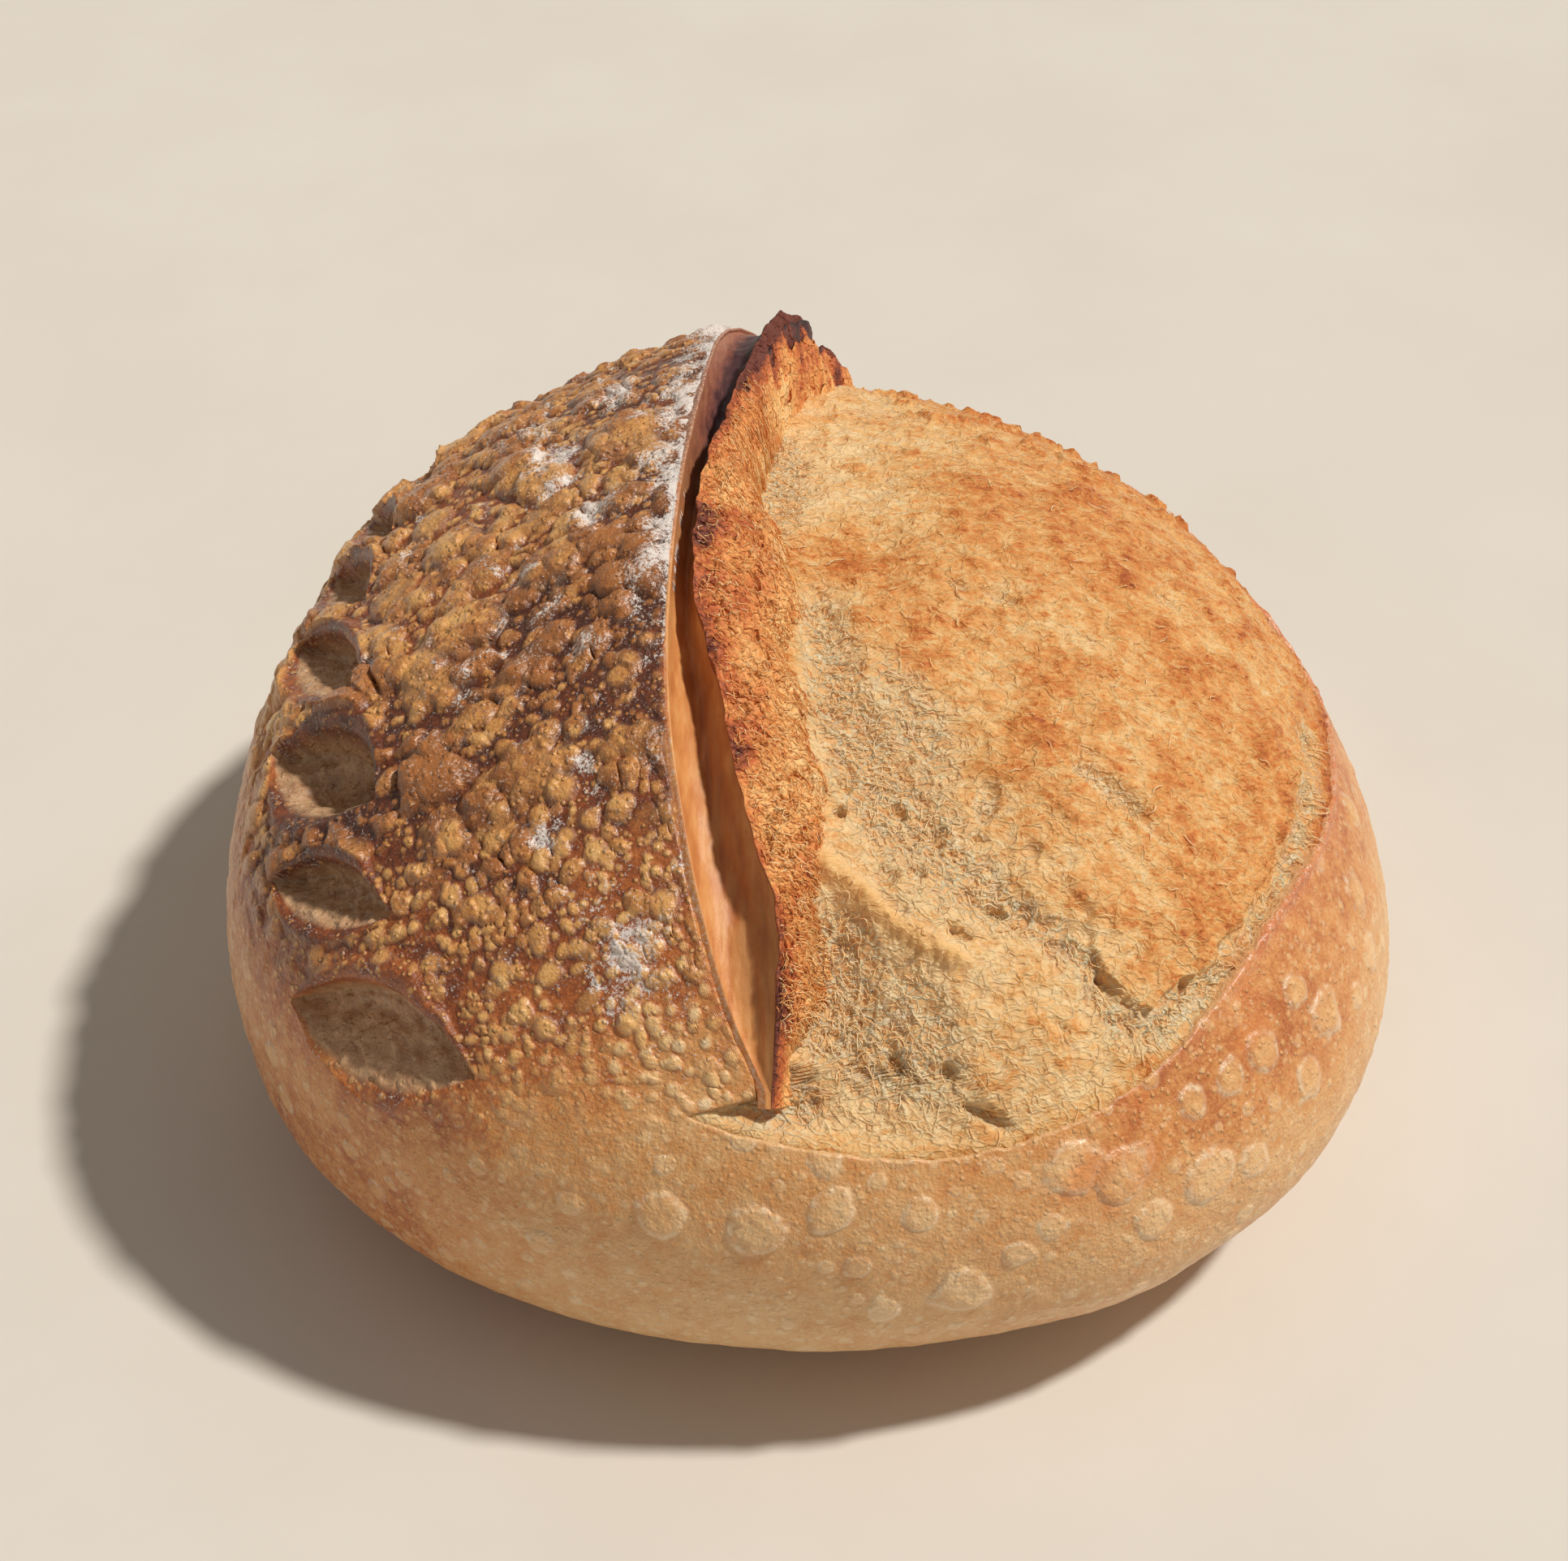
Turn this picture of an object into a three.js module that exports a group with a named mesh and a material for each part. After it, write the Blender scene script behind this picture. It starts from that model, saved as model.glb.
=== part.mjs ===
// A round sourdough loaf, baked with one long score. Millimetres, +Z up, resting on its flat base.
// The loaf is one solid: a leaning dome on a flat base, with its surface raised and lowered along its normal.
// The long score runs front to back, along Y. On its left the crust lifts to a thin rim. Then come the
// smooth cut groove, the torn crest of the ear, and the open bloom, which ends at the lower crust.
// Short leaf-shaped cuts climb the left flank, and blisters of many sizes stand on the crust.

import * as THREE from "three";
import { mergeVertices } from "three/addons/utils/BufferGeometryUtils.js";

// The dome
const PLAN_RADIUS = 108;
const PLAN_WAVES = [
  { lobes: 2, cosine: -0.047, sine: -0.005 },
  { lobes: 3, cosine: 0.008, sine: -0.019 },
  { lobes: 4, cosine: -0.012, sine: 0.006 },
];
const CROWN_HEIGHT = 98;
const WIDEST_HEIGHT = 32;
const CROWN_LEAN = -12;
const CROWN_FULLNESS = 2.12;
const BASE_FULLNESS = 2.6;
const BASE_CUT = 1.1;

// The long score: [y, x] along each of its lines, and [y, height] of each line above the dome
const RIM_LINE = [
  [-96, -8], [-87, -13.4], [-76, -17.4], [-64, -20.2], [-47, -22.8], [-28, -23.5],
  [0, -22.2], [30, -19.5], [62, -16], [78, -11], [90, -4], [98, 2],
];
const CREST_LINE = [
  [-96, -7], [-86, -6.3], [-72, -7.9], [-62, -10.8], [-49, -14], [-35, -17], [-18, -18.8],
  [13, -16.4], [37, -11.7], [54, -7.8], [70, -3], [84, 2], [98, 5],
];
const FOOT_LINE = [
  [-96, -5], [-85, -2.4], [-74, -1.8], [-66, 1.5], [-53, 1.3], [-41, -1], [-27, -3.4], [-8, -3.4],
  [12, -9.4], [22, -10], [34, -8.8], [48, -4.6], [62, -4], [72, -1.5], [82, 5], [90, 8.6], [98, 9],
];
const RIM_HEIGHT = [
  [-96, 0], [-87, 2.6], [-70, 6], [-47, 8.5], [-18, 11], [7, 12.5], [50, 13], [74, 10], [98, 0],
];
const CREST_HEIGHT = [
  [-96, 0], [-88, 4.5], [-72, 8.3], [-42, 10.3], [-11, 11.8], [24, 14.3], [54, 14.9], [64, 14],
  [74, 8.8], [84, 6.8], [98, 0],
];
const GROOVE_DEPTH = [[-96, 0], [-84, 3], [-62, 6], [-20, 6.5], [30, 5.5], [60, 3], [98, 0]];
const GROOVE_SKEW = 1.25;
const CREST_RAGS = [{ wave: 23, height: 0.7 }, { wave: 9.5, height: 0.6 }];
const EAR_SPREAD = 27;
const EAR_FALL = 1.4;
const EAR_FRONT = -96;
const EAR_BACK = 98;

// The bloom: the latitude of the crust's rim round it, in degrees, by azimuth
const BLOOM_EDGE = [
  [-104, 30], [-97, 26], [-86, 22.5], [-74, 20.8], [-58, 23], [-47, 26.5], [-34, 28.5], [-20, 26],
  [-4, 23], [8, 21.5], [20, 28.5], [45, 30], [66, 32], [84, 36], [97, 44],
];
const BLOOM_SWELLS = [
  { x: 44, y: 8, reach: 46, height: 2.6 },
  { x: 12, y: -46, reach: 19, height: -3.2 },
  { x: 4, y: -88, reach: 15, height: -4.2 },
  { x: 14, y: -71, reach: 7, height: 2.2 },
  { x: 48, y: -72, reach: 9, height: -1.6 },
  { x: 6, y: 26, reach: 14, height: -1.8 },
  { x: 30, y: -22, reach: 15, height: -2.4 },
  { x: 8, y: 2, reach: 12, height: -2.6 },
  { x: 30, y: -70, reach: 12, height: -1.6 },
  { x: 40, y: -48, reach: 8, height: 1.5 },
  { x: 66, y: -34, reach: 9, height: -1.4 },
];
const CRUMB_RIDGES = [
  { wave: 17, turn: 78, height: 0.5 },
  { wave: 23, turn: 105, height: 0.6 },
  { wave: 31, turn: 20, height: 0.5 },
];
const CRUST_LIP = 1.2;
const CRUST_LIP_WIDTH = 2.6;
const EDGE_CREASE = -1.6;

// The leaf-shaped cuts on the left flank, front to back: place in degrees, turn from level, sizes
const LEAF_CUTS = [
  { azimuth: -129, latitude: 24.5, turn: 9, length: 39, width: 18, depth: 6 },
  { azimuth: -141, latitude: 35, turn: 24, length: 30, width: 12, depth: 5 },
  { azimuth: -155, latitude: 42, turn: 30, length: 34, width: 18, depth: 7 },
  { azimuth: -175, latitude: 43, turn: 34, length: 36, width: 13, depth: 5.5 },
  { azimuth: 166, latitude: 41, turn: 40, length: 28, width: 12, depth: 5 },
  { azimuth: 152, latitude: 40, turn: 44, length: 24, width: 9, depth: 4 },
  { azimuth: 139, latitude: 39, turn: 48, length: 20, width: 7, depth: 3.5 },
];
const LEAF_LIP = 1.3;
const LEAF_DEEPEST = 0.45;
const LEAF_EDGE = 1.1;
const LEAF_LINE_END = 0.93;
const AIR_POCKET = { cut: 2, along: 5, across: 1.5, reach: 5.5, depth: 9 };

// The blisters that are large enough to show in this solid
const BLISTER_SEED = 41;
const BLISTER_COUNT = 190;
const BLISTER_SMALLEST = 2.6;
const BLISTER_LARGEST = 7.5;
const BLISTER_RARITY = 2.5;
const BLISTER_SPACING = 0.85;
const BLISTER_RISE = 0.34;
const BLISTER_TRIES = 12 * BLISTER_COUNT;
const BIG_BLISTERS = [
  { x: -32, y: 22, radius: 7.5 },
  { x: -50, y: 8, radius: 6.5 },
  { x: -60, y: -9, radius: 6.5 },
];

// Edge lengths of the facets
const FACET_FINE = 2.9;
const FACET_MIDDLE = 4.2;
const FACET_COARSE = 8.5;
const FACET_BASE = 16;
const LONG_EDGE = 1.3;
const POINT_MOVES = 0.36;
const SPLIT_PASSES = 6;

// How closely places on the dome are found
const LEAN_STEPS = 14;
const HALVINGS = 16;
const NORMAL_STEP = 0.004;

const DEGREE = Math.PI / 180;
const clamp01 = (value) => Math.min(1, Math.max(0, value));
const smooth = (from, to, value) => {
  const share = clamp01((value - from) / (to - from));
  return share * share * (3 - 2 * share);
};
const hump = (distance, reach) => Math.exp(-((distance / reach) ** 2));

// A smooth curve through [position, value] stops: cubic, with each stop's slope taken from its neighbours.
function along(stops, position) {
  const last = stops.length - 1;
  if (position <= stops[0][0]) return stops[0][1];
  if (position >= stops[last][0]) return stops[last][1];
  let i = 0;
  while (position > stops[i + 1][0]) i += 1;
  const slopeAt = (k) => {
    const before = stops[Math.max(k - 1, 0)];
    const after = stops[Math.min(k + 1, last)];
    return (after[1] - before[1]) / (after[0] - before[0]);
  };
  const span = stops[i + 1][0] - stops[i][0];
  const t = (position - stops[i][0]) / span;
  return (2 * t ** 3 - 3 * t ** 2 + 1) * stops[i][1] + (t ** 3 - 2 * t ** 2 + t) * span * slopeAt(i)
    + (3 * t ** 2 - 2 * t ** 3) * stops[i + 1][1] + (t ** 3 - t ** 2) * span * slopeAt(i + 1);
}

function planRadius(azimuth) {
  let share = 1;
  for (const { lobes, cosine, sine } of PLAN_WAVES)
    share += cosine * Math.cos(lobes * azimuth) + sine * Math.sin(lobes * azimuth);
  return PLAN_RADIUS * share;
}

// The plain dome: where a direction from its middle meets it.
function domePoint(direction) {
  const azimuth = Math.atan2(direction.y, direction.x);
  const level = Math.hypot(direction.x, direction.y);
  const radius = planRadius(azimuth);
  const upper = direction.z >= 0;
  const fullness = upper ? CROWN_FULLNESS : BASE_FULLNESS;
  const out = radius * level ** (2 / fullness);
  const share = Math.abs(direction.z) ** (2 / fullness);
  const height = upper
    ? WIDEST_HEIGHT + (CROWN_HEIGHT - WIDEST_HEIGHT) * share
    : Math.max(0, WIDEST_HEIGHT * (1 - BASE_CUT * share));
  const lean = upper ? CROWN_LEAN * share : 0;
  return new THREE.Vector3(out * Math.cos(azimuth) + lean, out * Math.sin(azimuth), height);
}

// The direction whose dome point lies over a place in plan. The lean depends on the height, so it is
// found by steps.
function directionOver(x, y) {
  let rise = 1;
  let direction = new THREE.Vector3(0, 0, 1);
  for (let step = 0; step < LEAN_STEPS; step += 1) {
    const fromAxis = x - CROWN_LEAN * rise;
    const azimuth = Math.atan2(y, fromAxis);
    const level = clamp01(Math.hypot(fromAxis, y) / planRadius(azimuth)) ** (CROWN_FULLNESS / 2);
    const up = Math.sqrt(1 - level * level);
    direction = new THREE.Vector3(level * Math.cos(azimuth), level * Math.sin(azimuth), up);
    rise = direction.z ** (2 / CROWN_FULLNESS);
  }
  return direction;
}

function directionAt(azimuth, latitude) {
  return new THREE.Vector3().setFromSphericalCoords(1, (90 - latitude) * DEGREE, (azimuth + 90) * DEGREE)
    .applyAxisAngle(new THREE.Vector3(1, 0, 0), Math.PI / 2);
}

// The outward normal there, from two short steps across the dome.
function domeNormal(direction) {
  const side = Math.abs(direction.z) < 0.9 ? new THREE.Vector3(0, 0, 1) : new THREE.Vector3(1, 0, 0);
  const first = new THREE.Vector3().crossVectors(side, direction).normalize();
  const second = new THREE.Vector3().crossVectors(direction, first);
  const beside = (axis, step) => domePoint(direction.clone().addScaledVector(axis, step).normalize());
  const across = (axis) => beside(axis, NORMAL_STEP).sub(beside(axis, -NORMAL_STEP));
  return across(first).cross(across(second)).normalize();
}

// How far above the bloom's lower edge a point lies, in millimetres along the dome.
function insideBloom(direction) {
  const azimuth = Math.atan2(direction.y, direction.x) / DEGREE;
  const latitude = Math.asin(direction.z) / DEGREE;
  if (azimuth < BLOOM_EDGE[0][0] || azimuth > BLOOM_EDGE.at(-1)[0]) return -PLAN_RADIUS;
  return (latitude - along(BLOOM_EDGE, azimuth)) * PLAN_RADIUS * DEGREE;
}

// The height of the score and the bloom over the dome.
function scoreRelief(direction, point) {
  const onTop = smooth(8, 22, Math.asin(direction.z) / DEGREE);
  const rim = along(RIM_LINE, point.y);
  const crest = along(CREST_LINE, point.y);
  const foot = along(FOOT_LINE, point.y);
  const rimHeight = along(RIM_HEIGHT, point.y);
  let crestHeight = along(CREST_HEIGHT, point.y);
  for (const rag of CREST_RAGS)
    crestHeight += rag.height * Math.sin((2 * Math.PI * point.y) / rag.wave) * smooth(0, 5, crestHeight);
  const depth = along(GROOVE_DEPTH, point.y);
  const inside = insideBloom(direction);
  let bloom = EDGE_CREASE * hump(inside - 3, 2.4) * smooth(-88, -62, point.y);
  for (const swell of BLOOM_SWELLS)
    bloom += swell.height * hump(Math.hypot(point.x - swell.x, point.y - swell.y), swell.reach);
  for (const ridge of CRUMB_RIDGES) {
    const across = point.x * Math.cos(ridge.turn * DEGREE) + point.y * Math.sin(ridge.turn * DEGREE);
    bloom += ridge.height * Math.sin((2 * Math.PI * across) / ridge.wave);
  }
  bloom *= smooth(0, 5, inside);
  if (point.y <= EAR_FRONT || point.y >= EAR_BACK) return onTop * bloom;
  if (point.x <= rim) return onTop * rimHeight * Math.exp(-(((rim - point.x) / EAR_SPREAD) ** EAR_FALL));
  if (point.x <= crest) {
    const share = (point.x - rim) / (crest - rim);
    const floor = depth * Math.sin(Math.PI * share ** GROOVE_SKEW);
    return onTop * (rimHeight + (crestHeight - rimHeight) * share - floor);
  }
  const fall = smooth(crest, foot, point.x);
  return onTop * (crestHeight * (1 - fall) + bloom * fall);
}

// The thin raised lip of the crust where it borders the bloom on the right.
function lipRelief(direction, point) {
  if (point.x <= along(FOOT_LINE, point.y)) return 0;
  return CRUST_LIP * hump(insideBloom(direction) + 1, CRUST_LIP_WIDTH) * smooth(-92, -60, point.y);
}

// Where each leaf-shaped cut lies: its middle, and its long and cross directions on the dome.
const leafCuts = LEAF_CUTS.map((cut) => {
  const direction = directionAt(cut.azimuth, cut.latitude);
  const normal = domeNormal(direction);
  const level = new THREE.Vector3().crossVectors(new THREE.Vector3(0, 0, 1), normal).normalize();
  const long = level.applyAxisAngle(normal, cut.turn * DEGREE);
  const cross = new THREE.Vector3().crossVectors(normal, long);
  return { ...cut, middle: domePoint(direction), long, cross };
});

// A leaf-shaped cut: its floor rises gently to the lower edge and steeply to the lifted upper edge.
function leafRelief(point) {
  let height = 0;
  leafCuts.forEach((cut, index) => {
    const offset = point.clone().sub(cut.middle);
    const lengthwise = offset.dot(cut.long);
    const crosswise = offset.dot(cut.cross);
    const u = lengthwise / (cut.length / 2);
    if (offset.length() > cut.length || Math.abs(u) >= 1) return;
    const half = 1 - u * u;
    const w = crosswise / (cut.width / 2) / Math.max(half, 0.05);
    const dip = smooth(-1.05, LEAF_DEEPEST, w) * (1 - smooth(LEAF_DEEPEST, LEAF_EDGE, w));
    height -= cut.depth * Math.sqrt(half) * dip;
    height += LEAF_LIP * half * hump(w - LEAF_EDGE - 0.15, 0.4);
    if (index === AIR_POCKET.cut) {
      const away = Math.hypot(lengthwise - AIR_POCKET.along, crosswise - AIR_POCKET.across);
      height -= AIR_POCKET.depth * hump(away, AIR_POCKET.reach);
    }
  });
  return height;
}

// The share of full blistering that the crust has at a point: none in the score, the bloom and the cuts.
function blistered(direction, point) {
  const latitude = Math.asin(direction.z) / DEGREE;
  const left = point.x < along(RIM_LINE, point.y) - 3 ? 1 : 0;
  const lower = insideBloom(direction) < -4 ? 1 : 0;
  if (!left && !lower) return 0;
  if (Math.abs(leafRelief(point)) > 0.3) return 0;
  return smooth(-8, 12, latitude) * (left ? 0.35 + 0.65 * smooth(20, 38, latitude) : 0.5);
}

// A plain repeatable random sequence between 0 and 1.
function randomSequence(seed) {
  const multiplier = 16807;
  const largest = 2147483647;
  let state = seed;
  return () => {
    state = (state * multiplier) % largest;
    return state / largest;
  };
}

const blisterAt = ({ x, y, radius }) => ({ middle: domePoint(directionOver(x, y)), radius });
const blisters = BIG_BLISTERS.map(blisterAt);
const random = randomSequence(BLISTER_SEED);
for (let tries = 0; tries < BLISTER_TRIES && blisters.length < BLISTER_COUNT; tries += 1) {
  const azimuth = 360 * random() - 180;
  const latitude = Math.asin(random()) / DEGREE;
  const chance = random();
  const radius = BLISTER_SMALLEST + (BLISTER_LARGEST - BLISTER_SMALLEST) * random() ** BLISTER_RARITY;
  const direction = directionAt(azimuth, latitude);
  const middle = domePoint(direction);
  const clear = blisters.every(
    (other) => other.middle.distanceTo(middle) > BLISTER_SPACING * (other.radius + radius),
  );
  if (clear && chance < blistered(direction, middle)) blisters.push({ middle, radius });
}

function blisterRelief(point) {
  let height = 0;
  for (const one of blisters) {
    const share = point.distanceTo(one.middle) / one.radius;
    if (share < 1) height = Math.max(height, BLISTER_RISE * one.radius * Math.sqrt(1 - share * share));
  }
  return height;
}

function loafPoint(direction) {
  const point = domePoint(direction);
  if (point.z <= 0) return point;
  const height = scoreRelief(direction, point) + lipRelief(direction, point) + leafRelief(point)
    + blisterRelief(point) * blistered(direction, point);
  const placed = point.addScaledVector(domeNormal(direction), height);
  placed.z = Math.max(placed.z, 0);
  return placed;
}

// The facet size wanted at a direction: fine along the score and the leaf cuts, coarse on the base.
function facetGoal(direction) {
  const point = domePoint(direction);
  const latitude = Math.asin(direction.z) / DEGREE;
  if (point.z <= 0) return FACET_BASE;
  const acrossEar = point.x > along(RIM_LINE, point.y) - 5 && point.x < along(FOOT_LINE, point.y) + 4;
  const alongEar = point.y > EAR_FRONT - 3 && point.y < EAR_BACK + 3;
  if ((latitude > 20 && acrossEar && alongEar) || Math.abs(leafRelief(point)) > 0.2) return FACET_FINE;
  if (Math.abs(insideBloom(direction)) < 4 && point.x > 0) return FACET_MIDDLE;
  if (blistered(direction, point) > 0.5) return FACET_MIDDLE;
  if (insideBloom(direction) > 0) return 1.15 * FACET_MIDDLE;
  return latitude > 5 ? 1.5 * FACET_MIDDLE : FACET_COARSE;
}

// Splits the edges for which a point is given: newPoint returns its index, or -1. Neighbours share each
// new point.
function splitEdges(triangles, newPoint) {
  const middles = new Map();
  const middleOf = (a, b) => {
    const key = a < b ? `${a}_${b}` : `${b}_${a}`;
    if (!middles.has(key)) middles.set(key, newPoint(a, b));
    return middles.get(key);
  };
  const made = [];
  for (const [a, b, c] of triangles) {
    const corners = [a, b, c];
    const mid = [middleOf(a, b), middleOf(b, c), middleOf(c, a)];
    const count = mid.filter((m) => m >= 0).length;
    if (count === 0) made.push(corners);
    if (count === 3) made.push([a, mid[0], mid[2]], [mid[0], b, mid[1]], [mid[2], mid[1], c], mid);
    if (count === 0 || count === 3) continue;
    const k = mid.findIndex((m) => (count === 1 ? m >= 0 : m < 0));
    const [p, q, r] = [corners[k], corners[(k + 1) % 3], corners[(k + 2) % 3]];
    const [pq, qr, rp] = [mid[k], mid[(k + 1) % 3], mid[(k + 2) % 3]];
    if (count === 1) made.push([p, pq, r], [pq, q, r]);
    if (count === 2) made.push([p, q, qr], [p, qr, rp], [rp, qr, r]);
  }
  return made;
}

// Splits every edge that is longer than its goal, until none is.
function splitLongEdges(directions, faces) {
  let triangles = faces;
  for (let pass = 0; pass < SPLIT_PASSES; pass += 1) {
    const made = splitEdges(triangles, (a, b) => {
      const halfway = directions[a].clone().add(directions[b]).normalize();
      const length = domePoint(directions[a]).distanceTo(domePoint(directions[b]));
      return length > LONG_EDGE * facetGoal(halfway) ? directions.push(halfway) - 1 : -1;
    });
    if (made.length === triangles.length) break;
    triangles = made;
  }
  return triangles;
}

// The lines that the facets follow, each as a distance that is nought on the line.
function scoreDistance(offset) {
  return (point) => {
    const outside = point.z <= WIDEST_HEIGHT || point.y <= EAR_FRONT || point.y >= EAR_BACK;
    return outside ? NaN : offset(point);
  };
}

function leafDistance(cut, line) {
  return (point) => {
    const offset = point.clone().sub(cut.middle);
    const u = offset.dot(cut.long) / (cut.length / 2);
    const v = offset.dot(cut.cross) / (cut.width / 2);
    if (offset.length() > cut.length || Math.abs(u) > LEAF_LINE_END) return NaN;
    return v - line * (1 - u * u);
  };
}

const grooveFloor = (y) => (along(RIM_LINE, y) + along(CREST_LINE, y)) / 2;
const edgeLines = [
  scoreDistance((point) => point.x - along(RIM_LINE, point.y)),
  scoreDistance((point) => point.x - along(CREST_LINE, point.y)),
  scoreDistance((point) => point.x - along(FOOT_LINE, point.y)),
  scoreDistance((point) => point.x - grooveFloor(point.y)),
  ...leafCuts.flatMap((cut) => [leafDistance(cut, LEAF_EDGE), leafDistance(cut, LEAF_DEEPEST)]),
];

// Where between two directions the distance is nought, by halving.
function crossing(first, second, distance) {
  const sign = Math.sign(distance(domePoint(first)));
  let low = 0;
  let high = 1;
  for (let step = 0; step < HALVINGS; step += 1) {
    const share = (low + high) / 2;
    const value = distance(domePoint(first.clone().lerp(second, share).normalize()));
    if (Math.sign(value) === sign) low = share;
    else high = share;
  }
  return { share: low, direction: first.clone().lerp(second, low).normalize() };
}

// Fits the facets to a line: the points beside it move onto it, and each edge that still crosses it is
// split there.
function fitToLine(directions, triangles, distance) {
  const values = directions.map((direction) => distance(domePoint(direction)));
  const crosses = (a, b) => values[a] * values[b] < 0;
  const moved = new Map();
  for (const corners of triangles) {
    for (let k = 0; k < 3; k += 1) {
      const [a, b] = [corners[k], corners[(k + 1) % 3]];
      if (!crosses(a, b)) continue;
      const { share, direction } = crossing(directions[a], directions[b], distance);
      for (const [corner, away] of [[a, share], [b, 1 - share]]) {
        const nearest = moved.get(corner)?.away ?? 1;
        if (away < POINT_MOVES && away < nearest) moved.set(corner, { away, direction });
      }
    }
  }
  moved.forEach(({ direction }, index) => {
    directions[index] = direction;
    values[index] = 0;
  });
  return splitEdges(triangles, (a, b) => {
    if (!crosses(a, b)) return -1;
    return directions.push(crossing(directions[a], directions[b], distance).direction) - 1;
  });
}

function loafGeometry() {
  const ball = new THREE.IcosahedronGeometry(1, 9);
  ball.deleteAttribute("normal");
  ball.deleteAttribute("uv");
  const merged = mergeVertices(ball, 1e-5);
  const position = merged.getAttribute("position");
  const directions = [];
  for (let i = 0; i < position.count; i += 1)
    directions.push(new THREE.Vector3().fromBufferAttribute(position, i).normalize());
  const faces = [];
  for (let i = 0; i < merged.index.count; i += 3)
    faces.push([i, i + 1, i + 2].map((k) => merged.index.getX(k)));
  let triangles = splitLongEdges(directions, faces);
  for (const distance of edgeLines) triangles = fitToLine(directions, triangles, distance);
  const points = directions.flatMap((direction) => loafPoint(direction).toArray());
  const geometry = new THREE.BufferGeometry();
  geometry.setAttribute("position", new THREE.Float32BufferAttribute(points, 3));
  geometry.setIndex(triangles.flat());
  geometry.computeVertexNormals();
  return geometry;
}

const crust = new THREE.MeshStandardMaterial({ color: 0xb5763c, roughness: 0.62, metalness: 0 });

const loaf = new THREE.Mesh(loafGeometry(), crust);
loaf.name = "loaf";

const sourdough = new THREE.Group();
sourdough.add(loaf);

export default sourdough;
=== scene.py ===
import math

import bpy
import numpy as np
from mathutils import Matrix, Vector


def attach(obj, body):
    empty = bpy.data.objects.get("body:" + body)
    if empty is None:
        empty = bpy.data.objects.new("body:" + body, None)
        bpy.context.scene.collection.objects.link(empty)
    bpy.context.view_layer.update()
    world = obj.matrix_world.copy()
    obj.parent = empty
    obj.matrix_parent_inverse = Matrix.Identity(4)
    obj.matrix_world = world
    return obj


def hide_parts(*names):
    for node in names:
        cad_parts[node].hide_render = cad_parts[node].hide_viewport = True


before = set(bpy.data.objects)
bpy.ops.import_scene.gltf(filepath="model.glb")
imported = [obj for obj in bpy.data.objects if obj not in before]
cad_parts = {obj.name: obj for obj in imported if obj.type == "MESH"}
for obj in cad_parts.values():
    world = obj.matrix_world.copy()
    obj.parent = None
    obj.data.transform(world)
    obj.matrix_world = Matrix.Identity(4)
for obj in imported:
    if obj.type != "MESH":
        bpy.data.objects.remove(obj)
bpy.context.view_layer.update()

# The lower crust is the pale baked skin that wraps the underside and the lower sides of the loaf. It is dough dried
# and browned in the oven: a leaning dome on a flat base, sprinkled with thin ring-shaped blisters, and with a thin
# reddish lip where it once met the score. All sizes below are in millimetres.
PLAN_RADIUS = 108.0
PLAN_WAVES = ((2, -0.047, -0.005), (3, 0.008, -0.019), (4, -0.012, 0.006))
CROWN_HEIGHT, WIDEST_HEIGHT, CROWN_LEAN = 98.0, 32.0, -12.0
CROWN_FULLNESS, BASE_FULLNESS, BASE_CUT = 2.12, 2.6, 1.1
NORMAL_STEP, LEAN_STEPS = 0.004, 14
HEART = np.array([-4.0, 0.0, 34.0])


def smooth(start, end, value):
    share = np.clip((value - start) / (end - start), 0, 1)
    return share * share * (3 - 2 * share)


def hump(distance, reach):
    return np.exp(-((distance / reach) ** 2))


def spot(x, y, middle_x, middle_y, reach):
    return hump(np.hypot(x - middle_x, y - middle_y), reach)


def along(stops, where):
    at, value = np.array(stops, float).T
    slope = np.gradient(value, at)
    slope[1:-1] = (value[2:] - value[:-2]) / (at[2:] - at[:-2])
    where = np.clip(where, at[0], at[-1])
    i = np.clip(np.searchsorted(at, where, side="right") - 1, 0, len(at) - 2)
    span = at[i + 1] - at[i]
    t = (where - at[i]) / span
    return ((2 * t**3 - 3 * t**2 + 1) * value[i] + (t**3 - 2 * t**2 + t) * span * slope[i]
            + (3 * t**2 - 2 * t**3) * value[i + 1] + (t**3 - t**2) * span * slope[i + 1])


def plan_radius(azimuth):
    return PLAN_RADIUS * (1 + sum(c * np.cos(k * azimuth) + s * np.sin(k * azimuth) for k, c, s in PLAN_WAVES))


def angles_of(way):
    """Azimuth and latitude in degrees."""
    return (np.degrees(np.arctan2(way[..., 1], way[..., 0])),
            np.degrees(np.arcsin(np.clip(way[..., 2], -1, 1))))


def toward(azimuth, latitude):
    a, b = np.broadcast_arrays(np.radians(azimuth), np.radians(latitude))
    return np.stack([np.cos(b) * np.cos(a), np.cos(b) * np.sin(a), np.sin(b)], -1)


def dome(way):
    azimuth = np.arctan2(way[..., 1], way[..., 0])
    level = np.hypot(way[..., 0], way[..., 1])
    upper = way[..., 2] >= 0
    power = 2 / np.where(upper, CROWN_FULLNESS, BASE_FULLNESS)
    out = plan_radius(azimuth) * level**power
    share = np.abs(way[..., 2]) ** power
    height = np.where(upper, WIDEST_HEIGHT + (CROWN_HEIGHT - WIDEST_HEIGHT) * share,
                      np.maximum(0, WIDEST_HEIGHT * (1 - BASE_CUT * share)))
    lean = np.where(upper, CROWN_LEAN * share, 0)
    return np.stack([out * np.cos(azimuth) + lean, out * np.sin(azimuth), height], -1)


def unit(vectors):
    return vectors / np.maximum(np.linalg.norm(vectors, axis=-1, keepdims=True), 1e-9)


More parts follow.
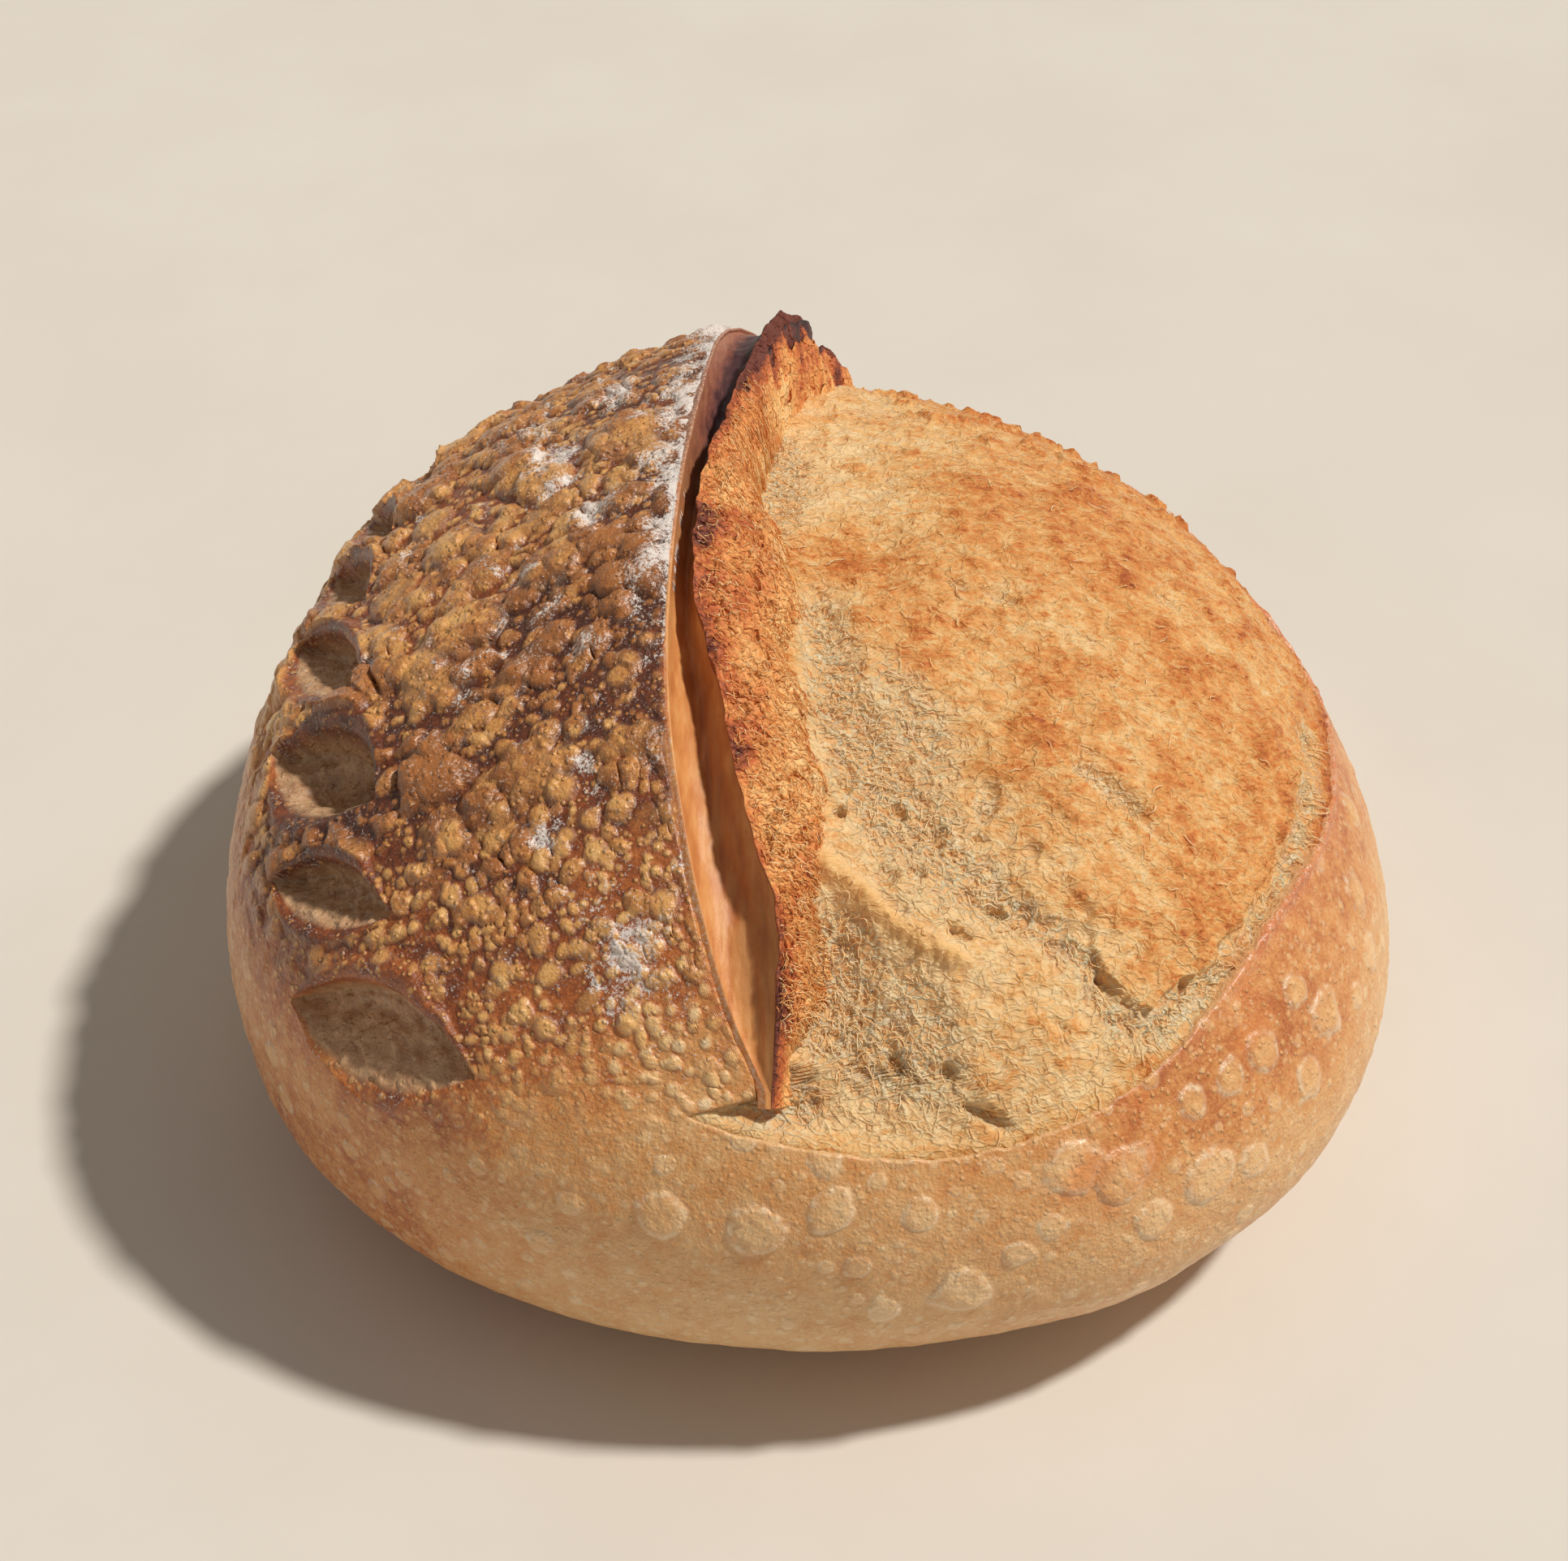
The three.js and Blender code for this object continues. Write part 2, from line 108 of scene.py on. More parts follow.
def dome_normal(way):
    side = np.where(np.abs(way[..., 2:3]) < 0.9, np.array([0.0, 0, 1]), np.array([1.0, 0, 0]))
    first = unit(np.cross(side, way))
    second = np.cross(way, first)
    steps_over = [NORMAL_STEP * axis for axis in (first, second)]
    return unit(np.cross(*(dome(unit(way + step)) - dome(unit(way - step)) for step in steps_over)))


def lifted(way, height):
    return dome(way) + dome_normal(way) * height[:, None]


def way_over(x, y):
    rise = np.ones_like(x)
    for _ in range(LEAN_STEPS):
        beside = x - CROWN_LEAN * rise
        azimuth = np.arctan2(y, beside)
        level = np.clip(np.hypot(beside, y) / plan_radius(azimuth), 0, 0.9999) ** (CROWN_FULLNESS / 2)
        up = np.sqrt(1 - level**2)
        rise = up ** (2 / CROWN_FULLNESS)
    return np.stack([level * np.cos(azimuth), level * np.sin(azimuth), up], -1)


# Repeatable unevenness: a number for each whole place, a smooth noise over them, and cells with their walls.
def chance(*whole, seed=0):
    mixed = np.full(np.shape(whole[0]), seed * 7919 + 17, np.int64)
    for number, factor in zip(whole, (73856093, 19349663, 83492791)):
        mixed ^= number.astype(np.int64) * factor
    mixed = ((mixed ^ (mixed >> 13)) * 1274126177) & 0xFFFFFFFF
    mixed = ((mixed ^ (mixed >> 15)) * 668265263) & 0xFFFFFFFF
    return ((mixed ^ (mixed >> 16)) & 0xFFFF) / 65535.0


def uneven(place, size, seed=0, layers=1):
    total, strength = 0.0, 1.0
    for layer in range(layers):
        q = place / (size / 2**layer)
        whole = np.floor(q)
        part = q - whole
        part *= part * (3 - 2 * part)
        value = 0.0
        for corner in np.ndindex(*(2,) * place.shape[-1]):
            weight = np.prod([part[..., k] if c else 1 - part[..., k] for k, c in enumerate(corner)], axis=0)
            value += weight * chance(*(whole[..., k] + c for k, c in enumerate(corner)), seed=seed + layer)
        total += strength * (2 * value - 1)
        strength *= 0.5
    return total


def cells(place, size, seed=0):
    """Distance to the nearest cell's middle, how far from the wall between cells, and a number of the cell's own."""
    q = place / size
    whole = np.floor(q)
    near, second, own = np.full(q.shape[:-1], 9.0), np.full(q.shape[:-1], 9.0), np.zeros(q.shape[:-1])
    for step in np.ndindex(*(3,) * q.shape[-1]):
        corner = [whole[..., k] + shift - 1 for k, shift in enumerate(step)]
        away = np.sqrt(sum((c + chance(*corner, seed=seed + k) - q[..., k]) ** 2 for k, c in enumerate(corner)))
        second = np.minimum(second, np.maximum(near, away))
        own = np.where(away < near, chance(*corner, seed=seed + 9), own)
        near = np.minimum(near, away)
    return near, second - near, own


def open_cells(place, sizes_and_seeds, wall, least):
    """How open the dough is there: 0 on the walls between cells, up to 1 in a cell. One answer for each size."""
    for size, seed in sizes_and_seeds:
        _, from_wall, own = cells(place, size, seed)
        yield smooth(*wall, from_wall) * (least + (1 - least) * own)


def bent(place, size, much, seed):
    return place + much * np.stack([uneven(place, size, seed + k, 2) for k in range(place.shape[-1])], -1)


# The bloom's lower edge, as a latitude by azimuth, and the height of the crust's lip along it.
BLOOM_FIRST, BLOOM_LAST = -104, 97
BLOOM_EDGE = ((-104, 30), (-97, 26), (-86, 22.5), (-74, 20.8), (-58, 23), (-47, 26.5), (-34, 28.5), (-20, 26),
              (-4, 23), (8, 21.5), (20, 28.5), (45, 30), (66, 32), (84, 36), (97, 44))


def inside_bloom(way):
    azimuth, latitude = angles_of(way)
    inside = (latitude - along(BLOOM_EDGE, azimuth)) * PLAN_RADIUS * math.pi / 180
    return np.where((azimuth < BLOOM_FIRST) | (azimuth > BLOOM_LAST), -PLAN_RADIUS, inside)


# The lifted rim of the score, left of the groove: its x and its height over the dome at each y.
RIM_LINE = ((-96, -8), (-87, -13.4), (-76, -17.4), (-64, -20.2), (-47, -22.8), (-28, -23.5), (0, -22.2), (30, -19.5),
            (62, -16), (78, -11), (90, -4), (98, 2))
RIM_HEIGHT = ((-96, 0), (-87, 2.6), (-70, 6), (-47, 8.5), (-18, 11), (7, 12.5), (50, 13), (74, 10), (98, 0))
EAR_SPREAD = 27.0

# Leaf-shaped cuts: azimuth, latitude, turn, length, width, depth. An air pocket opened in the third, in two lobes:
# how far along and across the leaf each lobe lies, its reach and its depth.
LEAF_CUTS = ((-129, 24.5, 9, 39, 18, 6), (-141, 35, 24, 30, 12, 5), (-155, 42, 30, 34, 18, 7),
             (-175, 43, 34, 36, 13, 5.5), (166, 41, 40, 28, 12, 5), (152, 40, 44, 24, 9, 4),
             (139, 39, 48, 20, 7, 3.5))
POCKET_LEAF, POCKET_LOBES = 2, ((5, 1.0, 4.6, 8), (-2.5, -1.5, 3.6, 6))
leaf_cuts = []
for azimuth, latitude, turn, length, width, depth in LEAF_CUTS:
    way = toward(azimuth, latitude)
    normal = dome_normal(way)
    level = unit(np.cross([0.0, 0, 1], normal))
    long = level * math.cos(math.radians(turn)) + np.cross(normal, level) * math.sin(math.radians(turn))
    leaf_cuts.append((dome(way), long, np.cross(normal, long), length / 2, width / 2, depth))


def leaf_relief(point):
    height, floor, zone = (np.zeros(point.shape[:-1]) for _ in range(3))
    wobble = uneven(point, 5, 61, 2)
    for index, (middle, long, cross, half_length, half_width, depth) in enumerate(leaf_cuts):
        offset = point - middle
        near = np.linalg.norm(offset, axis=-1) < 1.6 * half_length
        u = (offset @ long) / half_length + 0.03 * wobble
        v = (offset @ cross) / half_width
        half = np.clip(1 - u * u, 0, 1)
        w = v / np.maximum(half, 0.05) + 0.07 * wobble
        cut = smooth(-1.05, 0.5, w) * (1 - smooth(0.72, 0.98, w)) * (half > 0.03)
        deep = depth * half**0.5 * cut * near
        lip = 1.6 * half * near * (hump(w - 1.18, 0.25) + 0.5 * hump(w + 1.15, 0.18))
        height += lip - deep
        floor = np.maximum(floor, smooth(-1.0, -0.7, w) * (1 - smooth(0.8, 0.95, w)) * near * (half > 0.03))
        around = smooth(-1.4, -1.1, w) * (1 - smooth(1.15, 1.35, w))
        zone = np.maximum(zone, around * near * smooth(-0.02, 0.06, half))
        if index == POCKET_LEAF:
            for shift_long, shift_cross, reach, drop in POCKET_LOBES:
                away = np.hypot(offset @ long - shift_long, offset @ cross - shift_cross)
                height -= drop * hump(away, reach) * near
    grain = uneven(point, 2.6, 63, 3) - 1.4 * smooth(0.1, 0.4, cells(point, 3.4, 64)[1])
    return height + 0.32 * floor * grain, floor, zone


# Blisters: place on the dome, radius, rise as a share of the radius, and whether the middle is sunk like a ring.
def lay_blisters(seed, count, azimuths, latitudes, smallest, largest, rarity, spacing, placed):
    draw = np.random.default_rng(seed)
    middles = [dome(toward(*p[:2])) for p in placed]
    radii = [p[2] for p in placed]
    for _ in range(count):
        place = dome(toward(draw.uniform(*azimuths), draw.uniform(*latitudes)))
        radius = smallest + (largest - smallest) * draw.random() ** rarity
        away = np.linalg.norm(np.array(middles) - place, axis=1)
        if (away < spacing * (np.array(radii) + radius)).any():
            continue
        middles.append(place)
        radii.append(radius)
    return np.array(middles), np.array(radii)


def blister_relief(point, middles, radii, rise, ring):
    flat = point.reshape(-1, 3)
    order = np.argsort(flat[:, 1])
    ranked = flat[order]
    height, bubble, edge = (np.zeros(len(flat)) for _ in range(3))
    for middle, radius in zip(middles, radii):
        low, high = np.searchsorted(ranked[:, 1], (middle[1] - 1.5 * radius, middle[1] + 1.5 * radius))
        if low == high:
            continue
        share = np.linalg.norm(ranked[low:high] - middle, axis=1) / radius
        share *= 1 + 0.2 * uneven(ranked[low:high], 0.9 * radius, int(100 * radius), 2)
        here = share < 1.5
        kept, share = order[low:high][here], share[here]
        body = rise * radius * np.sqrt(np.clip(1 - share**2, 0, 1)) * (1 - ring * 0.6 * hump(share, 0.62))
        height[kept] = np.maximum(height[kept], body)
        bubble[kept] = np.maximum(bubble[kept], 1 - smooth(0.45, 1.05, share))
        edge[kept] = np.maximum(edge[kept], hump(share - 0.9, 0.16))
    return (v.reshape(point.shape[:-1]) for v in (height, bubble, edge))


# The largest ones are placed one by one: azimuth, latitude and radius.
LOW_RINGS = ((-78, 2, 4.6), (-93.5, 13, 4.4), (-106.5, 26, 3.4), (-114, 25, 4.2), (-87, 15.5, 3.6),
             (-66.5, 16.4, 4.6), (-62.8, 13.2, 4.7), (-55, 7.5, 5.0), (-73, 6.5, 2.6), (-86, 7.5, 2.2),
             (-101, 13.8, 4.0), (-80, 14.5, 3.0), (-61, 14.3, 3.0), (-61, 5.5, 3.4), (-35.5, 14, 4.2),
             (-45, 17.8, 3.6), (-21, 16.8, 3.8), (-24, 9.8, 3.4), (-10, 18.5, 3.2), (-41, 9.5, 3.6),
             (-54, 18, 2.6), (-49.5, 17.8, 3.0), (-50, 5.8, 3.2), (-38, 20.2, 3.0))
low_blisters = lay_blisters(5, 5200, (-180, 180), (-14, 26), 0.4, 2.6, 5.0, 1.3, LOW_RINGS)
TOP_BLISTERS = ((133.8, 76, 7.6), (-159, 63.5, 6.8), (171, 60.3, 6.6), (-163, 73, 5.4), (-137.8, 64.5, 3.6),
                (-117.5, 57.5, 2.8), (-122, 44, 2.4), (-117.3, 38.5, 2.2), (-119.3, 60, 2.6), (-129, 48.8, 3.0),
                (-156.8, 58.2, 4.8), (150, 66, 5.2), (160, 55, 4.6), (-172, 52, 4.2), (120, 62, 4.4))
top_blisters = lay_blisters(11, 2600, (95, 262), (12, 88), 0.7, 2.6, 2.6, 1.0, TOP_BLISTERS)


def crowded_bubbles(point):
    """Round blisters of four sizes that crowd and overlap: their height, how near the top of one, and how baked."""
    place = bent(bent(point, 8, 1.2, 201), 2.2, 0.22, 205)
    height, top, tint = (np.zeros(point.shape[:-1]) for _ in range(3))
    high_up = smooth(34, 56, point[..., 2]) * smooth(-74, -38, point[..., 1])
    mid_up = 0.35 + 0.65 * smooth(-92, -58, point[..., 1])
    for size, rise, presence, seed in ((12.5, 2.5, 0.55, 211), (7.2, 1.9, 0.62, 221), (4.4, 1.25, 0.7, 231),
                                       (2.5, 0.62, 0.75, 241)):
        near, wall, own = cells(place, size, seed)
        there = smooth(1 - presence, 1.06 - presence, own)
        reach = 0.36 + 0.2 * own
        body = np.clip(1 - (near / reach) ** 2, 0, 1) ** 0.6 * smooth(0, 0.1, wall) * there * (1 - 0.8 * top)
        body *= (high_up if size > 6 else mid_up if size > 4 else 1)
        height += rise * (0.5 + 0.5 * own) * body
        tint = tint * (1 - body) + (own - 0.62) * body
        top = np.maximum(top, body**0.8)
    return height, top, tint


def crust(way):
    """Height over the dome, and the finish of the crust there: toast (with painted shade on the left flank), bubble,
    edge, flour, cut, red.
    """
    point = dome(way)
    x, y = point[..., 0], point[..., 1]
    azimuth, latitude = angles_of(way)
    turned = np.where(azimuth < 0, azimuth + 360, azimuth)
    inside = inside_bloom(way)
    beside_rim = along(RIM_LINE, y) - 22 * smooth(96, 99.5, -y) - x
    left_of_rim = np.maximum(beside_rim, 0)
    on_left = smooth(92, 102, turned) * np.where(turned > 250, smooth(-1.2, 1.2, beside_rim), 1)
    on_left = np.maximum(on_left, (beside_rim > -0.01) * (turned < 110) * (turned > 80) * (latitude > 27))
    fade = smooth(8, 22, latitude)
    rim_fall = np.exp(-((left_of_rim / EAR_SPREAD) ** 1.4)) * smooth(-0.5, 0.0, beside_rim)
    height = fade * along(RIM_HEIGHT, y) * rim_fall
    height += 0.5 * uneven(point, 24, 3, 2) + 0.12 * uneven(point, 4, 7, 3)
    leaf, cut, zone = leaf_relief(point)
    topness = smooth(10, 30, latitude) * on_left
    low_rise, low_bubble, low_edge = blister_relief(point, *low_blisters, 0.18, 0.6)
    top_rise, top_bubble, top_edge = blister_relief(point, *top_blisters, 0.42, 0.0)
    crowd_rise, crowd_top, tint = crowded_bubbles(point)
    calm = 1 - 0.95 * zone
    near_rim = np.exp(-left_of_rim / 1.8) * on_left
    packed = topness * (0.25 + 0.75 * smooth(20, 36, latitude + 6 * uneven(point, 18, 23))) * (1 - near_rim) * calm
    above = smooth(-12, -6, latitude)
    wrinkled = 1 + 0.25 * uneven(point, 1.3, 29, 2)
    height += leaf + (0.8 * top_rise * (1 - 0.5 * crowd_top) + crowd_rise) * packed
    height += low_rise * wrinkled * (1 - topness) * above * calm + 0.05 * uneven(point, 1.0, 30, 2)
    off_left = 1 - on_left
    bumpy = 1 + 0.3 * uneven(point, 7, 31, 2) + 0.35 * uneven(point, 1.8, 33, 2)
    lip = 0.9 * hump(inside + 0.9, 1.4) * smooth(-96, -60, y) * off_left * bumpy
    ragged = inside + 0.5 * uneven(point, 2.4, 35, 3)
    height += lip - 3.2 * smooth(-0.2, 1.5, ragged) * off_left
    patchy = uneven(point, 22, 43, 3)
    toast = 0.16 + 0.12 * smooth(-5, 22, latitude)
    east = smooth(-84, -48, azimuth) * off_left
    # Painted shade: the left flank, turned from the lamp, is made darker as if more toasted.
    toast += 0.13 * smooth(104, 130, -azimuth) * smooth(178, 150, -azimuth)
    toast += 0.22 * east * smooth(0, 20, latitude)
    dark_side = on_left * smooth(16, 44, latitude + 4 * patchy) * smooth(-98, -42, y + 8 * patchy)
    front_end = smooth(-102, -84, y)
    toast += 0.36 * dark_side + 0.18 * on_left * smooth(8, 30, latitude) * front_end + 0.09 * patchy
    toast += 0.12 * on_left * smooth(-45, -75, y) * smooth(10, 26, latitude) * front_end
    toast += 0.16 * np.exp(-left_of_rim / 9) * on_left * smooth(-90, -40, y)
    # Painted shade, stronger low on the left flank.
    toast += 0.16 * smooth(98, 125, -azimuth) * smooth(178, 150, -azimuth) * smooth(16, -6, latitude)
    red = hump(inside + 0.8, 2.6) * off_left * smooth(-95, -50, y)
    red = np.maximum(red, 0.4 * hump(inside + 3, 4.5) * off_left * smooth(-80, -30, y) * (0.6 + 0.4 * patchy))
    floured = 1.05 * np.exp(-((left_of_rim / 6.5) ** 2)) * on_left * smooth(-55, 0, y + 6 * patchy)
    for fx, fy, reach, much in ((-28, -80, 7.5, 0.94), (-23, -85, 5, 0.6), (-33, -74, 6, 0.5), (-36, 1, 6, 0.9),
                                (-42, -20, 5, 0.75), (-44, 22, 8, 1.0), (-41, -61, 4.5, 0.75), (-42, 12, 5, 0.85),
                                (-50, 38, 9, 0.8), (-34, 40, 7, 0.95), (-36, -31, 4, 0.6), (-46, -30, 4, 0.5)):
        floured = np.maximum(floured, much * spot(x, y, fx, fy, reach))
    smears = smooth(0.25, 0.8, uneven(bent(point, 8, 3, 51), 5, 54, 2))
    floured = np.maximum(floured, 0.7 * on_left * smooth(34, 56, latitude) * smears)
    floured *= np.clip(0.75 + 0.6 * uneven(bent(point, 4, 2, 57), 2.6, 58, 2), 0, 1.15)
    floured = np.maximum(floured, 0.24 * zone * (1 - cut) * on_left)
    floured = np.maximum(floured, 0.2 * on_left * smooth(18, 34, latitude))
    floured += 0.3 * hump(left_of_rim, 0.6) * on_left * smooth(-92, -70, y)
    upper_bubble = np.maximum(crowd_top, 0.9 * top_bubble) * packed
    masks = dict(
        toast=toast,
        bubble=np.clip(upper_bubble + 0.5 * low_bubble * (1 - topness) * calm, 0, 1),
        edge=np.maximum(0.2 * top_edge * packed, low_edge * (1 - topness) * calm),
        flour=np.clip(floured, 0, 1), cut=cut, red=np.clip(red, 0, 1), tint=0.5 + tint * packed,
        red_spots=smooth(-100, -60, azimuth) * off_left * smooth(2, 14, latitude),
        torn=smooth(-0.5, 0.6, ragged) * off_left,
    )
    return height, masks


# The crust's pieces end on the base at LOWER_SEAM and run UNDER_BLOOM past the bloom's edge, both in degrees.
LOWER_SEAM, UNDER_BLOOM, SEAM_DIP = -14.0, 2.2, 0.12


def keep_masks(mesh, masks):
    for key, value in masks.items():
        mesh.attributes.new(key, "FLOAT", "POINT").data.foreach_set("value", np.asarray(value, np.float32))
    mesh.update()


def turn_faces_out():
    bpy.ops.object.mode_set(mode="EDIT")
    bpy.ops.mesh.select_all(action="SELECT")
    bpy.ops.mesh.normals_make_consistent(inside=False)
    bpy.ops.object.mode_set(mode="OBJECT")


# Makes one piece of the loaf's skin from a grid: its points go where shape(u, v) says, its border is drawn in to the
# heart of the loaf to close it, and the finish is kept on the points.
def skin_piece(name, columns, rows, shape):
    bpy.ops.object.select_all(action="DESELECT")
    bpy.ops.mesh.primitive_grid_add(x_subdivisions=columns, y_subdivisions=rows, size=1)
    piece = bpy.context.object
    piece.name = name
    mesh = piece.data
    flat = np.empty(len(mesh.vertices) * 3)
    mesh.vertices.foreach_get("co", flat)
    u, v = flat.reshape(-1, 3)[:, 0] + 0.5, flat.reshape(-1, 3)[:, 1] + 0.5
    points, masks = shape(u, v)
    mesh.vertices.foreach_set("co", (points / 1000).ravel())
    keep_masks(mesh, masks)
    bpy.ops.object.mode_set(mode="EDIT")
    bpy.ops.mesh.select_mode(type="VERT")
    bpy.ops.mesh.select_all(action="DESELECT")
    bpy.ops.mesh.select_non_manifold()
    bpy.ops.mesh.extrude_edges_move()
    bpy.ops.mesh.merge(type="CENTER")
    bpy.ops.object.mode_set(mode="OBJECT")
    mesh.vertices[len(mesh.vertices) - 1].co = Vector(HEART / 1000)
    turn_faces_out()
    bpy.ops.object.shade_smooth_by_angle(angle=math.radians(75))
    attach(piece, "root")
    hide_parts("loaf")
    return piece


def crust_zone(azimuths, bottom, top):
    def shape(u, v):
        azimuth = azimuths[0] + (azimuths[1] - azimuths[0]) * u
        latitude = bottom(azimuth) * (1 - v) + top(azimuth) * v
        way = toward(azimuth, latitude)
        height, masks = crust(way)
        height -= SEAM_DIP * smooth(LOWER_SEAM + 0.6, LOWER_SEAM, latitude)
        points = lifted(way, height)
        points[:, 2] = np.maximum(points[:, 2], 0)
        return points, masks
    return shape


# The finish of baked skin: nodes that read the masks on the points and speckle them at a finer size.
def tone(red, green, blue):
    return tuple(((c / 255 + 0.055) / 1.055) ** 2.4 for c in (red, green, blue)) + (1.0,)


def feed(tree, node, fed):
    """Links or sets a node's inputs. A name stands for the mask of that name on the points."""
    for key, value in fed.items():
        if isinstance(value, str):
            value = add(tree, "Attribute", {}, attribute_name=value).outputs["Fac"]
        if isinstance(value, bpy.types.NodeSocket):
            tree.links.new(value, node.inputs[key])
        else:
            node.inputs[key].default_value = value


def add(tree, kind, fed, **settings):
    made = tree.nodes.new("ShaderNode" + kind)
    for key, value in settings.items():
        setattr(made, key, value)
    feed(tree, made, fed)
    return made


def object_place(tree):
    return add(tree, "TexCoord", {}).outputs["Object"]


def speckle(tree, millimetres, detail=3.0, roughness=0.6, stretch=None):
    place = object_place(tree)
    if stretch:
        place = add(tree, "Mapping", {"Vector": place, "Scale": stretch}).outputs[0]
    return add(tree, "TexNoise", {"Vector": place, "Scale": 1000 / millimetres, "Detail": detail,
                                  "Roughness": roughness}).outputs["Fac"]


def steps(tree, value, *stops):
    made = add(tree, "ValToRGB", {"Fac": value})
    for _ in stops[2:]:
        made.color_ramp.elements.new(0.5)
    for element, (at, *colour) in zip(made.color_ramp.elements, stops):
        element.position = at
        element.color = tone(*colour)
    return made.outputs["Color"]


def painted(tree, colour, *layers):
    """Each layer is how much of it lies there and its colour."""
    for share, over in layers:
        colour = add(tree, "Mix", {0: share, 6: colour, 7: over}, data_type="RGBA").outputs[2]
    return colour


def sum_of(tree, kind, first, second, third=0.0):
    return add(tree, "Math", {0: first, 1: second, 2: third}, operation=kind).outputs[0]


def plus(tree, first, *others):
    for other in others:
        first = sum_of(tree, "ADD", first, other)
    return first


def times(tree, first, second):
    return sum_of(tree, "MULTIPLY", first, second)


def spread(tree, value, low, high, to_low=0.0, to_high=1.0, run="LINEAR"):
    ends = {1: low, 2: high, 3: to_low, 4: to_high}
    return add(tree, "MapRange", {0: value, **ends}, interpolation_type=run).outputs[0]


def sway(tree, noise, much):
    """Noise as a share that goes down and up by so much."""
    return spread(tree, noise, 0.3, 0.7, -much, much)


def bump(tree, strength, distance, height, **under):
    fed = {"Strength": strength, "Distance": distance, "Height": height, **under}
    return add(tree, "Bump", fed).outputs[0]


def new_finish(name):
    material = bpy.data.materials.new(name)
    material.use_nodes = True
    return material, material.node_tree, material.node_tree.nodes["Principled BSDF"]


def bead(tree, millimetres, rarity):
    """Small round grains on a skin: 1 at the middle of each, 0 between them."""
    grains = add(tree, "TexVoronoi", {"Vector": object_place(tree), "Scale": 1000 / millimetres})
    there = spread(tree, grains.outputs["Color"], rarity, rarity + 0.04)
    round_top = spread(tree, grains.outputs["Distance"], 0.12, 0.42, 1.0, 0.0, "SMOOTHSTEP")
    return times(tree, there, round_top)


baked_skin, tree, skin = new_finish("baked_skin")
fine, middle, broad = speckle(tree, 0.8, 4, 0.7), speckle(tree, 4, 4), speckle(tree, 24, 3)
# The toast mask also carries the painted shade on the left flank.
toast_and_left_shade = plus(tree, "toast", sway(tree, middle, 0.13), sway(tree, fine, 0.12),
                    spread(tree, broad, 0.35, 0.65, -0.06, 0.06))
colour = steps(tree, toast_and_left_shade, (0.0, 236, 192, 136), (0.2, 226, 174, 115), (0.38, 220, 152, 86),
               (0.58, 190, 108, 50), (0.8, 136, 68, 32), (1.0, 86, 44, 28))
bubble_toast_and_left_shade = plus(tree, toast_and_left_shade, spread(tree, "tint", 0.2, 0.8, -0.24, 0.24))
bubble_colour = steps(tree, bubble_toast_and_left_shade, (0.0, 252, 226, 184), (0.3, 246, 208, 152),
                      (0.6, 242, 190, 118), (0.85, 228, 164, 92), (1.0, 186, 118, 62))
beads = sum_of(tree, "MAXIMUM", bead(tree, 2.1, 0.5), bead(tree, 1.2, 0.52))
grained = times(tree, beads, spread(tree, "toast", 0.3, 0.7, 0.3, 0.75))
papery = times(tree, "edge", spread(tree, speckle(tree, 1.6, 3), 0.4, 0.6, 0.1, 0.75))
chaffed = times(tree, "red", spread(tree, speckle(tree, 0.7, 3, 0.8), 0.52, 0.66, 0.0, 0.8))
spots = times(tree, spread(tree, speckle(tree, 15, 2), 0.56, 0.74, 0.0, 0.6), "red_spots")
torn_colour = steps(tree, fine, (0.3, 206, 156, 100), (0.7, 240, 208, 160))
cut_colour = steps(tree, speckle(tree, 2.4, 4, 0.65), (0.3, 172, 128, 92), (0.7, 234, 194, 148))
dust = plus(tree, "flour", spread(tree, speckle(tree, 0.55, 3, 0.8), 0.3, 0.7, -0.62, 0.38),
            sway(tree, middle, 0.15))
dust = spread(tree, dust, 0.34, 0.66, 0.0, 0.88)
colour = painted(tree, colour, (spread(tree, "bubble", 0.1, 0.85, 0.0, 0.95), bubble_colour),
                 (grained, bubble_colour), (papery, tone(246, 222, 184)),
                 (spread(tree, "red", 0.0, 1.0, 0.0, 0.5), tone(224, 126, 74)), (chaffed, tone(250, 222, 196)),
                 (spots, tone(222, 128, 56)), ("torn", torn_colour),
                 (spread(tree, "cut", 0.2, 1.0, 0.0, 0.85), cut_colour), (dust, tone(242, 234, 227)))
shine = plus(tree, spread(tree, plus(tree, "bubble", "toast"), 0.2, 1.5, 0.5, 0.3),
             spread(tree, "edge", 0.0, 1.0, 0.0, -0.15), spread(tree, dust, 0.0, 1.0, 0.0, 0.4))
pitted = bump(tree, 0.75, 0.0003, speckle(tree, 0.55, 2, 0.7))
pitted = bump(tree, 0.4, 0.0006, speckle(tree, 2.2, 2, 0.65), Normal=pitted)
pitted = bump(tree, 0.7, 0.0006, grained, Normal=pitted)
feed(tree, skin, {"Base Color": colour, "Roughness": shine, "Normal": pitted, "Specular IOR Level": 0.55,
                  "Coat Weight": 0.28, "Coat Roughness": 0.28})


def bottom_edge(azimuth):
    return np.full_like(azimuth, LOWER_SEAM)


def bloom_edge_in(azimuth):
    return along(BLOOM_EDGE, azimuth) + UNDER_BLOOM


crust_pieces = [
    skin_piece("front_crust", 400, 230, crust_zone((-104, -24), bottom_edge, bloom_edge_in)),
    skin_piece("right_crust", 300, 150, crust_zone((-24, 97), bottom_edge, bloom_edge_in)),
]

